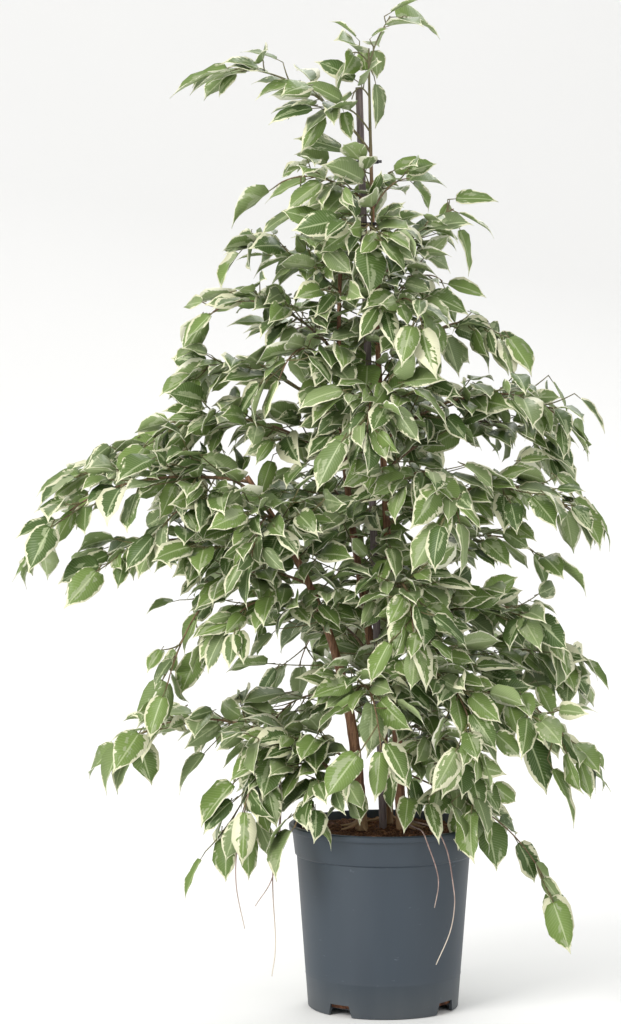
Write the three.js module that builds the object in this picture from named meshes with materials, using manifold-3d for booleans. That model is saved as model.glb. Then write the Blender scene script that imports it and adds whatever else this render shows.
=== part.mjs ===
// A variegated weeping fig in a nursery pot, in millimetres, with +Z up and the floor at z = 0.
// The origin is the middle of the pot's underside. X runs to the right and Y away from the viewer.
// Three woody stems are tied to a stake. Each leafy branch is one solid of wood and leaves,
// which stands a running gap off the stem that carries it.
import * as THREE from "three";
import { mergeVertices } from "three/addons/utils/BufferGeometryUtils.js";
import Module from "manifold-3d";

const wasm = await Module();
wasm.setup();

// Driving dimensions of the pot
const rimRadius = 105;
const potHeight = 203;
const lipHeight = 6.5;
const collarTopRadius = 101.5;
const collarFootRadius = 98.2;
const collarFootHeight = 170;
const wallTopRadius = 96.4;
const wallFootRadius = 83.5;
const wall = 2;
const floorHeight = 6;
const floorThickness = 2.5;
const padRadius = 18;
const potSides = 32;

// Driving dimensions of the drain notches in the pot's foot
const notchCount = 4;
const notchTurn = 54;
const notchHeight = 13;
const notchTopWidth = 24;
const notchFootWidth = 31;
const notchReach = 73;

// Driving dimensions of the soil, the stake and the ties
const gap = 0.3;
const soilEdgeHeight = 194.5;
const soilCrownHeight = 198;
const stakeRadius = 4.3;
const stakeTopRadius = 4;
const stakeFoot = [5.2, 0, 40];
const stakeTop = [-27.5, 0, 1016];
const stakeSides = 8;
const tieHeights = [934, 866];
const tieThickness = 1.1;
const tieWidth = 3.6;
const tieTail = 14;
const curveSegments = 2;

// Driving dimensions of a leaf: the mean blade's length, and the blade's shape as shares of it
const bladeLength = 52;
const bladeHalfWidth = 0.27;
const bladeHalfThickness = 0.7;
const bladeArch = 0.16;
const bladeFold = 0.26;
const stalkLength = 10;
const stalkHalfWidth = 1;
const stalkHalfHeight = 0.4;
const leafSpacing = 28;
const leafTurns = [0, 25, -25, 50, -50, 80, -80];

// Driving dimensions of the branches' wood
const branchRootRadius = 3.2;
const branchTipRadius = 1.9;
const branchSides = 3;
const twigRootRadius = 1.3;
const twigSpacing = 59;
const firstTwig = 0.24;
const lastTwig = 0.88;
const twigLength = 0.4;
const seatReach = 6;
const threadRadius = 0.8;

const up = new THREE.Vector3(0, 0, 1);
const degrees = Math.PI / 180;

// The three woody stems: cubic curves from inside the soil to their tips, and the azimuths of
// the root ridges at their feet
const stemSides = 7;
const stems = {
  left: {
    curve: [[-22, -12, 150], [-28, -14, 340], [-50, -30, 440], [-150, -55, 590]],
    rootRadius: 7.2, tipRadius: 2.8, steps: 7, ridges: [150, 215, 280],
  },
  back: {
    curve: [[6, 25, 150], [10, 27, 420], [-66, 12, 520], [-46, 6, 850]],
    rootRadius: 6.4, tipRadius: 2, steps: 8, ridges: [30, 95, 160],
  },
  leader: {
    curve: [[22, -6, 150], [10, -8, 460], [-13, -7, 760], [-17, -6, 1058]],
    rootRadius: 6.2, tipRadius: 1.2, steps: 8, ridges: [305, 350, 40],
  },
};

// The leafy branches. Each row: the stem, the height on it, the azimuth in degrees (0 right,
// 90 away, 180 left, 270 to the front), how far the wood reaches, how high it arches over its
// root, and how far its tip ends below its root (less than 0 where it ends above).
const branches = [
  // The tip of the plant, from the top down
  ["leader", 1038, 16, 24, 42, -56],
  ["leader", 1040, 196, 22, 16, -10],
  ["leader", 1004, 190, 20, 16, 2],
  ["leader", 966, 206, 56, 34, -22],
  // Left side, from the top down
  ["leader", 944, 186, 150, 88, -90],
  ["leader", 884, 188, 108, 42, -22],
  ["back", 776, 174, 110, 74, -62],
  ["back", 716, 191, 142, 76, -52],
  ["back", 636, 184, 166, 90, -64],
  ["left", 566, 168, 186, 56, -30],
  ["left", 584, 185, 236, 14, 74],
  ["left", 500, 190, 208, 32, 0],
  ["left", 420, 214, 130, 52, -8],
  ["left", 236, 182, 250, 104, -64],
  ["left", 262, 205, 138, 66, 34],
  ["left", 224, 228, 108, 46, 12],
  ["left", 470, 193, 160, 34, 110],
  ["left", 250, 191, 150, 42, 58],
  ["back", 596, 188, 214, 72, -34],
  ["left", 540, 206, 136, 40, 6],
  // Right side, from the top down
  ["leader", 880, 14, 42, 36, -36],
  ["leader", 790, 352, 86, 78, -92],
  ["leader", 758, 20, 78, 60, -46],
  ["leader", 686, 6, 128, 84, -62],
  ["leader", 626, 348, 196, 70, -28],
  ["leader", 592, 14, 190, 76, -22],
  ["leader", 534, 356, 208, 60, -14],
  ["leader", 478, 10, 164, 56, -26],
  ["leader", 408, 352, 184, 56, 0],
  ["leader", 356, 12, 204, 60, -16],
  ["leader", 322, 338, 214, 52, 40],
  ["leader", 268, 320, 118, 58, 44],
  ["leader", 264, 354, 168, -36, 134],
  // Front, from the top down
  ["leader", 826, 262, 84, 50, -16],
  ["leader", 742, 296, 104, 56, -12],
  ["back", 690, 236, 118, 52, -6],
  ["leader", 640, 262, 136, 56, 0],
  ["leader", 560, 300, 150, 54, 14],
  ["left", 520, 252, 116, 44, 16],
  ["leader", 446, 278, 150, 46, 26],
  ["left", 330, 284, 136, 56, 26],
  ["leader", 346, 304, 150, 52, 46],
  // Back, from the top down
  ["back", 812, 82, 92, 56, -20],
  ["back", 710, 122, 126, 58, -14],
  ["back", 624, 64, 148, 58, -4],
  ["back", 536, 108, 170, 56, 2],
  ["back", 452, 56, 176, 56, 12],
  ["back", 380, 118, 178, 58, 20],
  ["back", 300, 150, 160, 62, 28],
  ["back", 262, 66, 166, 62, 44],
];

// Thin aerial roots that hang from the low left branches: the branch's row, the share of the
// way along it, and the points that the root passes, from that place on the wood
const hangingRoots = [
  [15, 0.94, [[0, 0, 0], [-12, -3, -58], [-13, -4, -100], [-4, -5, -146]]],
  [15, 0.66, [[0, 0, 0], [3, -4, -65], [-6, -6, -137], [-3, -6, -214], [-7, -5, -251]]],
  [15, 0.7, [[0, 0, 0], [8, -10, -60], [0, -10, -132], [-20, -12, -168]]],
];
// Two more run from the leader stem's foot over the soil and the rim, and hang outside the pot
const rimRoots = [
  [[22, -8, 206], [36, -56, 206], [45, -97, 208], [52, -106, 176], [58, -104, 140], [57, -101, 112]],
  [[24, -8, 208], [58, -46, 207], [66, -87, 209], [74, -96, 166], [75, -94, 112], [64, -97, 50]],
];

// A repeatable draw from 0 to 1, from three whole numbers
function draw(branch, place, kind) {
  const wave = Math.sin(branch * 12.9898 + place * 78.233 + kind * 37.719) * 43758.5453;
  return wave - Math.floor(wave);
}

function vector(point) {
  return new THREE.Vector3(...point);
}

function cubic(points) {
  return new THREE.CubicBezierCurve3(...points.map(vector));
}

function azimuthWay(azimuth) {
  return new THREE.Vector3(Math.cos(azimuth * degrees), Math.sin(azimuth * degrees), 0);
}

// Turns a closed geometry into a solid that can be joined and cut
function solidOf(geometry) {
  const plain = geometry.clone();
  plain.deleteAttribute("normal");
  plain.deleteAttribute("uv");
  const merged = mergeVertices(plain, 1e-4);
  return new wasm.Manifold(
    new wasm.Mesh({
      numProp: 3,
      vertProperties: new Float32Array(merged.attributes.position.array),
      triVerts: new Uint32Array(merged.index.array),
    }),
  );
}

// Turns a solid back into a named mesh
function meshOf(name, solid, material) {
  const { vertProperties, triVerts } = solid.getMesh();
  const geometry = new THREE.BufferGeometry()
    .setAttribute("position", new THREE.BufferAttribute(vertProperties, 3))
    .setIndex(new THREE.BufferAttribute(triVerts, 1));
  geometry.computeVertexNormals();
  const mesh = new THREE.Mesh(geometry, material);
  mesh.name = name;
  return mesh;
}

// A closed profile of radii and heights, turned round the Z axis
function turned(profile) {
  const points = profile.map(([radius, height]) => new THREE.Vector2(radius, height));
  return solidOf(new THREE.LatheGeometry(points, potSides).rotateX(Math.PI / 2));
}

// The share of the way along a rising curve at which it reaches a height
function shareAtHeight(curve, height) {
  let low = 0;
  let high = 1;
  for (let i = 0; i < 40; i++) {
    const middle = (low + high) / 2;
    if (curve.getPoint(middle).z < height) low = middle;
    else high = middle;
  }
  return (low + high) / 2;
}

// A tapering tube: a cylinder whose rings are carried along a curve without a twist
function tube(curve, rootRadius, tipRadius, sides, steps) {
  const geometry = new THREE.CylinderGeometry(tipRadius, rootRadius, 1, sides, steps);
  const rings = [];
  let across = new THREE.Vector3(0.31, 0.95, 0.05);
  for (let i = 0; i <= steps; i++) {
    const along = curve.getTangent(i / steps);
    across = across.clone().addScaledVector(along, -across.dot(along)).normalize();
    const deep = new THREE.Vector3().crossVectors(across, along);
    rings.push({ centre: curve.getPoint(i / steps), across, deep });
  }
  const position = geometry.attributes.position;
  const moved = new THREE.Vector3();
  for (let i = 0; i < position.count; i++) {
    const ring = rings[Math.round((position.getY(i) + 0.5) * steps)];
    moved.copy(ring.centre);
    moved.addScaledVector(ring.across, position.getX(i));
    moved.addScaledVector(ring.deep, position.getZ(i));
    position.setXYZ(i, moved.x, moved.y, moved.z);
  }
  return solidOf(geometry);
}

// A point on the middle line of a tube along a curve, which runs straight from ring to ring
function onTube({ curve, steps }, share) {
  const ring = Math.min(Math.floor(share * steps), steps - 1);
  return curve.getPoint(ring / steps).lerp(curve.getPoint((ring + 1) / steps), share * steps - ring);
}

function potSolid() {
  const lipFoot = potHeight - lipHeight;
  const shell = turned([
    [0, 0], [padRadius, 0], [padRadius + 2, floorHeight],
    [wallFootRadius - 4, floorHeight], [wallFootRadius - 3.6, 0], [wallFootRadius, 0],
    [wallTopRadius, collarFootHeight - 2], [collarFootRadius, collarFootHeight],
    [collarTopRadius, lipFoot], [rimRadius - 0.5, lipFoot - 0.5], [rimRadius, potHeight - 1.4],
    [rimRadius - 1.4, potHeight], [collarTopRadius - 1.2, potHeight], [collarTopRadius - wall, lipFoot],
    [wallTopRadius - wall, collarFootHeight - 4],
    [wallFootRadius - wall, floorHeight + floorThickness], [0, floorHeight + floorThickness],
  ]);
  let pot = shell;
  for (let i = 0; i < notchCount; i++) pot = pot.subtract(notchSolid(i));
  return pot;
}

// A drain notch: a trapezium cut through the foot, the wall and the floor's edge
function notchSolid(index) {
  const shape = new THREE.Shape();
  shape.moveTo(-notchFootWidth / 2, -1);
  shape.lineTo(notchFootWidth / 2, -1);
  shape.lineTo(notchTopWidth / 2, notchHeight);
  shape.lineTo(-notchTopWidth / 2, notchHeight);
  const block = new THREE.ExtrudeGeometry(shape, { depth: 20, bevelEnabled: false });
  block.rotateX(Math.PI / 2);
  block.translate(0, -notchReach, 0);
  block.rotateZ((notchTurn + (index * 360) / notchCount) * degrees);
  return solidOf(block);
}

// The soil fills the pot, a gap off its walls, and rises a little to the middle
function soilSolid(holes) {
  const bottom = floorHeight + floorThickness + gap;
  const body = turned([
    [0, bottom], [wallFootRadius - wall - 1.5 * gap, bottom],
    [wallTopRadius - wall - 1.5 * gap, collarFootHeight - 4],
    [collarTopRadius - wall - 1, soilEdgeHeight - 1], [collarTopRadius - wall - 5, soilEdgeHeight + 0.6],
    [45, soilCrownHeight], [0, soilCrownHeight],
  ]);
  return holes.reduce((soil, hole) => soil.subtract(hole), body);
}

// The stake, or with a margin the hole that it stands in
function stakeSolid(margin) {
  const [x, y, z] = stakeFoot;
  const line = new THREE.LineCurve3(new THREE.Vector3(x, y, z - margin), vector(stakeTop));
  return tube(line, stakeRadius + margin, stakeTopRadius + margin, stakeSides, 1);
}

function stemLine(stem) {
  return { curve: cubic(stem.curve), steps: stem.steps };
}

// A stem, or with a margin the hole that it stands in
function stemSolid(stem, margin) {
  const [[x, y, z], ...rest] = stem.curve;
  const curve = cubic([[x, y, z - margin], ...rest]);
  return tube(curve, stem.rootRadius + margin, stem.tipRadius + margin, stemSides, stem.steps);
}

// Root ridges that spread from a stem's foot over the soil
function ridgeSolids(stem) {
  const curve = cubic(stem.curve);
  const foot = curve.getPoint(shareAtHeight(curve, soilCrownHeight));
  return stem.ridges.map((azimuth, i) => {
    const out = azimuthWay(azimuth);
    const place = (reach, rise) =>
      foot.clone().addScaledVector(out, reach).setZ(soilCrownHeight + rise);
    const reach = 24 + 8 * draw(azimuth, i, 9);
    const line = new THREE.CubicBezierCurve3(
      place(0, 13), place(stem.rootRadius * 0.9, 6), place(stem.rootRadius * 1.8, 3.4), place(reach, 1.8),
    );
    return tube(line, 2.8, 0.9, 3, 3);
  });
}

function threadSolid(points) {
  const line = new THREE.CatmullRomCurve3(points.map(vector), false, "catmullrom");
  return tube(line, threadRadius, threadRadius * 0.7, 3, 9);
}

// A plastic tie: a flat loop round the stake and a stem, with a tail beyond the stem
function tieSolid(height) {
  const share = (height - stakeFoot[2]) / (stakeTop[2] - stakeFoot[2]);
  const stake = vector(stakeFoot).lerp(vector(stakeTop), share);
  const leader = cubic(stems.leader.curve);
  const way = leader.getPoint(shareAtHeight(leader, height)).sub(stake);
  const reach = Math.hypot(way.x, way.y);
  const outline = (shape, radius) => {
    shape.absarc(0, 0, radius, Math.PI / 2, (3 * Math.PI) / 2);
    shape.absarc(reach, 0, radius, -Math.PI / 2, Math.PI / 2);
    return shape;
  };
  const inner = stakeRadius + 2 * gap;
  const band = outline(new THREE.Shape(), inner + tieThickness);
  band.holes.push(outline(new THREE.Path(), inner));
  const loop = new THREE.ExtrudeGeometry(band, { depth: tieWidth, bevelEnabled: false, curveSegments });
  loop.translate(0, 0, -tieWidth / 2);
  const tail = new THREE.BoxGeometry(tieTail, tieThickness, tieWidth);
  tail.translate(reach + inner + tieTail / 2 + 0.2, 0, 0);
  const turn = Math.atan2(way.y, way.x);
  const place = (geometry) => geometry.rotateZ(turn).translate(stake.x, stake.y, height);
  return solidOf(place(loop)).add(solidOf(place(tail)));
}

// The outer corners of a blade in its own frame: x across, y along, z out of its upper face.
// They are three pairs along the edge, the drip tip, and the rib's upper and lower middle. The
// blade starts at a distance along y, folds along its rib and arches towards its tip.
function bladeCorners(start, length) {
  const tip = start + length;
  const at = (across, share, rise) => {
    const y = start + length * share;
    const x = across * length * bladeHalfWidth;
    return [x, y, bladeFold * Math.abs(x) - bladeArch * tip * (y / tip) ** 2 + rise];
  };
  return [
    at(-0.9, 0.2, 0), at(0.9, 0.2, 0), at(-0.96, 0.6, 0), at(0.96, 0.6, 0),
    at(-0.42, 0.87, 0), at(0.42, 0.87, 0), at(0, 1, 0),
    at(0, 0.42, bladeHalfThickness), at(0, 0.42, -bladeHalfThickness),
  ];
}

// The faces of a blade, whose corners follow those of its stalk
function bladeFaces(neckLeft, neckRight, first) {
  const outline = [1, 3, 5, 6, 4, 2, 0].map((corner) => first + corner);
  const edge = [neckRight, ...outline, neckLeft];
  const upper = first + 7;
  const lower = first + 8;
  return edge.slice(1).flatMap((corner, i) => [[upper, edge[i], corner], [lower, corner, edge[i]]]);
}

function facetedSolid(corners, faces) {
  const geometry = new THREE.BufferGeometry()
    .setAttribute("position", new THREE.Float32BufferAttribute(corners.flat(), 3))
    .setIndex(faces.flat());
  return solidOf(geometry);
}

// A leaf on its stalk: the stalk is a wedge, upright at its root and flat at the blade's neck
function leafSolid(length, frame) {
  const neckHeight = (-bladeArch * stalkLength ** 2) / (stalkLength + length);
  const corners = [
    [0, 0, stalkHalfHeight], [0, 0, -stalkHalfHeight],
    [-stalkHalfWidth, stalkLength, neckHeight], [stalkHalfWidth, stalkLength, neckHeight],
    ...bladeCorners(stalkLength, length),
  ];
  const stalk = [[0, 1, 3], [0, 2, 1], [0, 3, 11], [0, 11, 2], [1, 12, 3], [1, 2, 12]];
  return facetedSolid(placedIn(frame, corners), [...stalk, ...bladeFaces(2, 3, 4)]);
}

// A twig that ends in a leaf: three-sided from its root to the neck of the blade
function spraySolid(length, root, neck) {
  const ring = (radius) => [[-radius, 0, radius * 0.5], [radius, 0, radius * 0.5], [0, 0, -radius]];
  const blade = bladeCorners(0, length).map(([x, y, z]) => [x, y, z + stalkHalfWidth * 0.5]);
  const corners = [
    ...placedIn(root, ring(twigRootRadius)),
    ...placedIn(neck, ring(stalkHalfWidth)),
    ...placedIn(neck, blade),
  ];
  const twig = [[0, 2, 1], [0, 1, 4], [0, 4, 3], [1, 2, 5], [1, 5, 4], [0, 5, 2], [0, 3, 5]];
  const neckFaces = [[3, 4, 13], [4, 5, 14], [3, 14, 5]];
  return facetedSolid(corners, [...twig, ...neckFaces, ...bladeFaces(3, 4, 6)]);
}

function placedIn(frame, corners) {
  return corners.map((corner) => vector(corner).applyMatrix4(frame).toArray());
}

// A frame at a root, with y along a way and z as near as can be to a facing
function frameOf(root, way, facing) {
  const along = way.clone().normalize();
  const face = facing.clone().addScaledVector(along, -facing.dot(along)).normalize();
  return new THREE.Matrix4().makeBasis(along.clone().cross(face), along, face).setPosition(root);
}

// The frame of a leaf: it points along what it grows from and to its own side, and droops.
// Its upper face looks up, out of the crown and away from the twig.
function leafFrame({ line, share, side, seed }, turn) {
  const root = onTube(line, share);
  const along = line.curve.getTangent(share);
  const across = new THREE.Vector3().crossVectors(along, up).normalize();
  const outward = new THREE.Vector3(root.x, root.y, 0).normalize();
  const jitter = (kind) => draw(...seed, kind) - 0.5;
  const way = along.clone().multiplyScalar(0.75 + 0.35 * share);
  way.addScaledVector(across, side * 0.95 * (1 - 0.75 * share) + 0.7 * jitter(2));
  way.addScaledVector(outward, 0.12);
  way.addScaledVector(up, -0.34 - 0.14 * share + 1.1 * jitter(3));
  way.applyAxisAngle(up, turn * degrees);
  const facing = up.clone().multiplyScalar(0.7);
  facing.addScaledVector(outward, 0.35);
  facing.addScaledVector(across, side * 0.3 + 1.6 * jitter(4));
  facing.y -= 0.4;
  return frameOf(root, way, facing);
}

// A branch's axis: it arches up and out from the middle of the stem that carries it
function axisLine([stem, height, azimuth, reach, rise, drop]) {
  const carrier = stemLine(stems[stem]);
  const root = onTube(carrier, shareAtHeight(carrier.curve, height));
  const out = azimuthWay(azimuth);
  const place = (share, lift) => root.clone().addScaledVector(out, reach * share).addScaledVector(up, lift);
  const curve = new THREE.CubicBezierCurve3(
    root, place(0.32, rise * 0.8), place(0.75, rise * 1.05), place(1, -drop),
  );
  return { curve, steps: reach > 120 ? 4 : 3 };
}

// A branch's axis as a solid, cut off flat a gap from the face of the stem that carries it
function axisSolid([stem, height, azimuth, reach], { curve, steps }) {
  const { rootRadius, tipRadius } = stems[stem];
  const carrier = stemLine(stems[stem]);
  const share = shareAtHeight(carrier.curve, height);
  const along = carrier.curve.getTangent(share);
  const out = azimuthWay(azimuth);
  out.addScaledVector(along, -out.dot(along)).normalize();
  const face = out.dot(onTube(carrier, share)) + rootRadius + (tipRadius - rootRadius) * share + gap;
  const radius = Math.min(branchRootRadius, branchTipRadius + reach / 120);
  return tube(curve, radius, branchTipRadius, branchSides, steps).trimByPlane(out.toArray(), face);
}

// The places of twigs on an axis, on alternate sides
function twigPlaces(axis, reach, index) {
  const count = Math.floor(reach / twigSpacing);
  return Array.from({ length: count }, (_, i) => {
    const share = firstTwig + ((lastTwig - firstTwig) * i) / Math.max(count - 1, 1);
    return { line: axis, share, side: i % 2 ? 1 : -1, reach, seed: [index, 100 + i], order: i + 1 };
  });
}

// A twig's straight line, turned about the vertical at its root
function twigLine({ line, share, side, reach, seed }, turn) {
  const root = onTube(line, share);
  const along = line.curve.getTangent(share);
  const across = new THREE.Vector3().crossVectors(along, up).normalize();
  const length = reach * twigLength * (1.2 - 0.85 * share) * (0.8 + 0.4 * draw(...seed, 1)) + 12;
  const way = along.clone().multiplyScalar(0.8);
  way.addScaledVector(across, side * (0.62 + 0.2 * draw(...seed, 2))).normalize();
  way.addScaledVector(up, -0.12).applyAxisAngle(up, turn * degrees);
  return { curve: new THREE.LineCurve3(root, root.clone().addScaledVector(way, length)), steps: 1 };
}

// Where single leaves grow: on alternate sides, along a line from one share to another. Every
// second of these places, counted in from the tip, gets a leaf.
function leafPlaces(line, from, to, skipped, index, order) {
  const count = Math.max(2, Math.round((line.curve.getLength() * (to - from)) / leafSpacing));
  const places = [];
  for (let i = count - skipped; i >= 0; i -= 2) {
    const share = from + ((to - from) * i) / count;
    places.push({ line, share, side: i % 2 ? 1 : -1, seed: [index, order * 20 + i] });
  }
  return places;
}

// What is already placed, so that each new piece can be bent clear of it
const placed = [];

function keep(node, kind, solid) {
  placed.push({ node, kind, solid, box: solid.boundingBox() });
}

function meets(a, b) {
  return [0, 1, 2].every((k) => a.min[k] < b.max[k] && b.min[k] < a.max[k]);
}

// Whether a piece crosses what is placed. It may be sunk in its own node's wood, but only
// within a short way of its root.
function crosses(solid, node, root) {
  const box = solid.boundingBox();
  return placed.some((other) => {
    if (!meets(box, other.box)) return false;
    const shared = solid.intersect(other.solid);
    if (shared.volume() === 0) return false;
    if (other.node !== node || other.kind !== "wood") return true;
    const { min, max } = shared.boundingBox();
    return [min, max].some((corner) => vector(corner).distanceTo(root) > seatReach);
  });
}

// The first of the turns at which a piece is clear of all that is placed, or nothing
function firstClear(build, node, root) {
  for (const turn of leafTurns) {
    const piece = build(turn);
    if (!crosses(piece.solid, node, root)) return piece;
  }
  return null;
}

function bladeLengthAt(seed) {
  return bladeLength * (0.78 + 0.36 * draw(...seed, 1));
}

const materials = {
  plastic: new THREE.MeshStandardMaterial({ color: 0x4b565e, roughness: 0.55, metalness: 0 }),
  soil: new THREE.MeshStandardMaterial({ color: 0x4a2b1e, roughness: 0.95, metalness: 0 }),
  bark: new THREE.MeshStandardMaterial({ color: 0x8a5a44, roughness: 0.8, metalness: 0 }),
  cane: new THREE.MeshStandardMaterial({ color: 0x75686a, roughness: 0.6, metalness: 0 }),
  tie: new THREE.MeshStandardMaterial({ color: 0x16171a, roughness: 0.5, metalness: 0 }),
  leaf: new THREE.MeshStandardMaterial({ color: 0x5c7c45, roughness: 0.45, metalness: 0 }),
};

const plant = new THREE.Group();

function add(name, solid, material) {
  keep(name, "body", solid);
  plant.add(meshOf(name, solid, material));
}

// The pot, the soil and what stands in it
const holes = [stakeSolid(gap), ...Object.values(stems).map((stem) => stemSolid(stem, gap))];
add("pot", potSolid(), materials.plastic);
add("soil", soilSolid(holes), materials.soil);
add("stake", stakeSolid(0), materials.cane);
for (const [name, stem] of Object.entries(stems)) {
  const threads = name === "leader" ? rimRoots.map(threadSolid) : [];
  const wood = wasm.Manifold.union([stemSolid(stem, 0), ...ridgeSolids(stem), ...threads]);
  add(`stem_${name}`, wood, materials.bark);
}
tieHeights.forEach((height, i) => add(`tie_${i + 1}`, tieSolid(height), materials.tie));

// All the branches' axes come first, then the hanging roots, the twigs and the single leaves
const grown = branches.map((row, index) => {
  const name = `branch_${String(index + 1).padStart(2, "0")}`;
  const axis = axisLine(row);
  const branch = { name, index, axis, reach: row[3], pieces: [], twigs: [] };
  fuse(branch, "wood", axisSolid(row, axis));
  return branch;
});

function fuse(branch, kind, solid) {
  keep(branch.name, kind, solid);
  branch.pieces.push(solid);
}

for (const [row, share, points] of hangingRoots) {
  const branch = grown[row - 1];
  const start = onTube(branch.axis, share);
  fuse(branch, "wood", threadSolid(points.map(([x, y, z]) => [x + start.x, y + start.y, z + start.z])));
}
for (const branch of grown) {
  for (const place of twigPlaces(branch.axis, branch.reach, branch.index)) {
    const build = (turn) => {
      const line = twigLine(place, turn);
      const neck = leafFrame({ line, share: 1, side: place.side, seed: place.seed }, 0);
      const root = frameOf(line.curve.v1, line.curve.getTangent(0), up);
      return { line, order: place.order, solid: spraySolid(bladeLengthAt(place.seed), root, neck) };
    };
    const twig = firstClear(build, branch.name, onTube(branch.axis, place.share));
    if (!twig) continue;
    fuse(branch, "wood", twig.solid);
    branch.twigs.push(twig);
  }
}
for (const branch of grown) {
  const places = leafPlaces(branch.axis, 0.36, 0.97, 0, branch.index, 0);
  for (const { line, order } of branch.twigs) {
    places.push(...leafPlaces(line, 0.25, 1, 1, branch.index, order));
  }
  for (const place of places) {
    const build = (turn) => ({ solid: leafSolid(bladeLengthAt(place.seed), leafFrame(place, turn)) });
    const leaf = firstClear(build, branch.name, onTube(place.line, place.share));
    if (leaf) fuse(branch, "leaf", leaf.solid);
  }
  const bodies = wasm.Manifold.union(branch.pieces).decompose();
  bodies.sort((a, b) => b.volume() - a.volume());
  plant.add(meshOf(branch.name, bodies[0], materials.leaf));
}

export default plant;
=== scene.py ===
# %% [markdown]
# # A variegated weeping fig in its nursery pot
#
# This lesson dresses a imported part: the part's solids are loaded as a fixed frame, and finer
# pieces are grown on them. The plant is a small tree of slender stems tied to a stake, with
# arching branches that carry many small, cream-edged leaves. The scene is in metres, with
# +X to the right, +Y away from the viewer, +Z up and the floor at z = 0. Sizes and places are
# written in mm, as in the part, unless a comment says otherwise.

# %% Load the frame
import math
import bmesh
import bpy
from mathutils import Matrix, Quaternion, Vector, noise
from mathutils.bvhtree import BVHTree
from mathutils.kdtree import KDTree


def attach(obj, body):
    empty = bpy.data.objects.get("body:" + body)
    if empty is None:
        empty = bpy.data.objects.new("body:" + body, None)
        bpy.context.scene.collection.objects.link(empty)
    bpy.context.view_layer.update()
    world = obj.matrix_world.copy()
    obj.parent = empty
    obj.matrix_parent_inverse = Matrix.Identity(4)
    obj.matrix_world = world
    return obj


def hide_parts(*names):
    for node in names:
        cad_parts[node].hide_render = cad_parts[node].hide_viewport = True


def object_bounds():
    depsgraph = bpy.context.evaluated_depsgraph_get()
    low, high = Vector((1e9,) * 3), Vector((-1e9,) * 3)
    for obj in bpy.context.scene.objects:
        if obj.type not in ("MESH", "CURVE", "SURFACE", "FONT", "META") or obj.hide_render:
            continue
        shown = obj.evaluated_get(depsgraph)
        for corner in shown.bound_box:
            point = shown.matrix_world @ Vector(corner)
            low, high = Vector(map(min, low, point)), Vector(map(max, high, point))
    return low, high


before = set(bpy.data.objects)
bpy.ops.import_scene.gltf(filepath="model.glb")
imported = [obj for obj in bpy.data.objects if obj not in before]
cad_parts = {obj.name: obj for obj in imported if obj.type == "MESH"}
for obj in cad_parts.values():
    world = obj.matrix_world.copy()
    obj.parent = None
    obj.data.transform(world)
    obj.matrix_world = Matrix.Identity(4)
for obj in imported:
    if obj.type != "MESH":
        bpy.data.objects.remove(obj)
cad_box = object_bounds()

MM = 0.001
UP = Vector((0, 0, 1))
print("nodes in the frame:", len(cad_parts))

# %% [markdown]
# ## The camera and the light
#
# The photograph looks straight at the plant from about three metres, a little above the middle
# of its height, so that the soil just shows over the rim. A long lens at that distance keeps
# the pot's sides nearly upright. One large light from the front left, a weaker one from the
# right and one from behind give the soft light of a studio, and the pale world fills the
# shadows. A single sun would be simpler, but its shadows would be hard.

# %% Camera
# One pixel of the photograph on the upright plane through the pot's axis, and its longer side
PIXEL = 1.1064 * MM
LONG_SIDE = 1024
# The photograph's middle on that plane and the place of the lens in metres, and its sensor in mm
MIDDLE = Vector((-0.0808, 0, 0.5488))
EYE = Vector((-0.0808, -3.3, 0.70))
SENSOR = 36

camera = bpy.data.objects.new("camera", bpy.data.cameras.new("camera"))
bpy.context.scene.collection.objects.link(camera)
camera.location = EYE
camera.rotation_euler = (MIDDLE - EYE).to_track_quat("-Z", "Y").to_euler()
camera.data.sensor_width = SENSOR
camera.data.lens = SENSOR * (MIDDLE - EYE).length / (LONG_SIDE * PIXEL)
camera.data.clip_end = 50
bpy.context.scene.camera = camera
print("lens", round(camera.data.lens, 1), "mm")


# %% Light
def soft_light(name, place, power, size, colour):
    """A square lamp that faces the middle of the plant, its place and size in metres."""
    lamp = bpy.data.objects.new(name, bpy.data.lights.new(name, "AREA"))
    bpy.context.scene.collection.objects.link(lamp)
    lamp.location = place
    lamp.rotation_euler = (MIDDLE - Vector(place)).to_track_quat("-Z", "Y").to_euler()
    lamp.data.energy = power
    lamp.data.size = size
    lamp.data.color = colour


soft_light("key_light", (-2.5, -2.5, 2.4), 116, 1.8, (1, 0.985, 0.965))
soft_light("fill_light", (2.6, -2.2, 1.4), 14, 2.2, (0.96, 0.98, 1))
soft_light("rim_light", (0.6, 2.4, 2.8), 40, 1.8, (1, 1, 1))

world = bpy.data.worlds.new("pale_room")
world.use_nodes = True
sky = world.node_tree.nodes["Background"].inputs
sky["Color"].default_value = (1, 1, 1, 1)
sky["Strength"].default_value = 0.85
bpy.context.scene.world = world
bpy.context.scene.view_settings.view_transform = "Standard"
print("lamps", len(bpy.data.lights))

# %% [markdown]
# ## From a bmesh to a piece
#
# Every piece ends in the same way: its bmesh becomes a mesh, the mesh gets its finishes, and an
# object at the origin carries it. A spin and a swept curve both leave corners that lie on one
# another and faces that look inwards, so a second helper merges the corners and turns the faces
# round. An operator such as an extrusion returns edges and faces too, and a third helper picks
# the corners that are to be moved.


# %% Helpers for pieces
def cleaned(bm):
    """Merges the corners that lie on one another and turns the faces outwards."""
    bmesh.ops.remove_doubles(bm, verts=bm.verts, dist=1e-6)
    bmesh.ops.recalc_face_normals(bm, faces=bm.faces)
    return bm


def corners_in(geometry):
    """The corners among the elements that an operator returns."""
    return [g for g in geometry if isinstance(g, bmesh.types.BMVert)]


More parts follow.
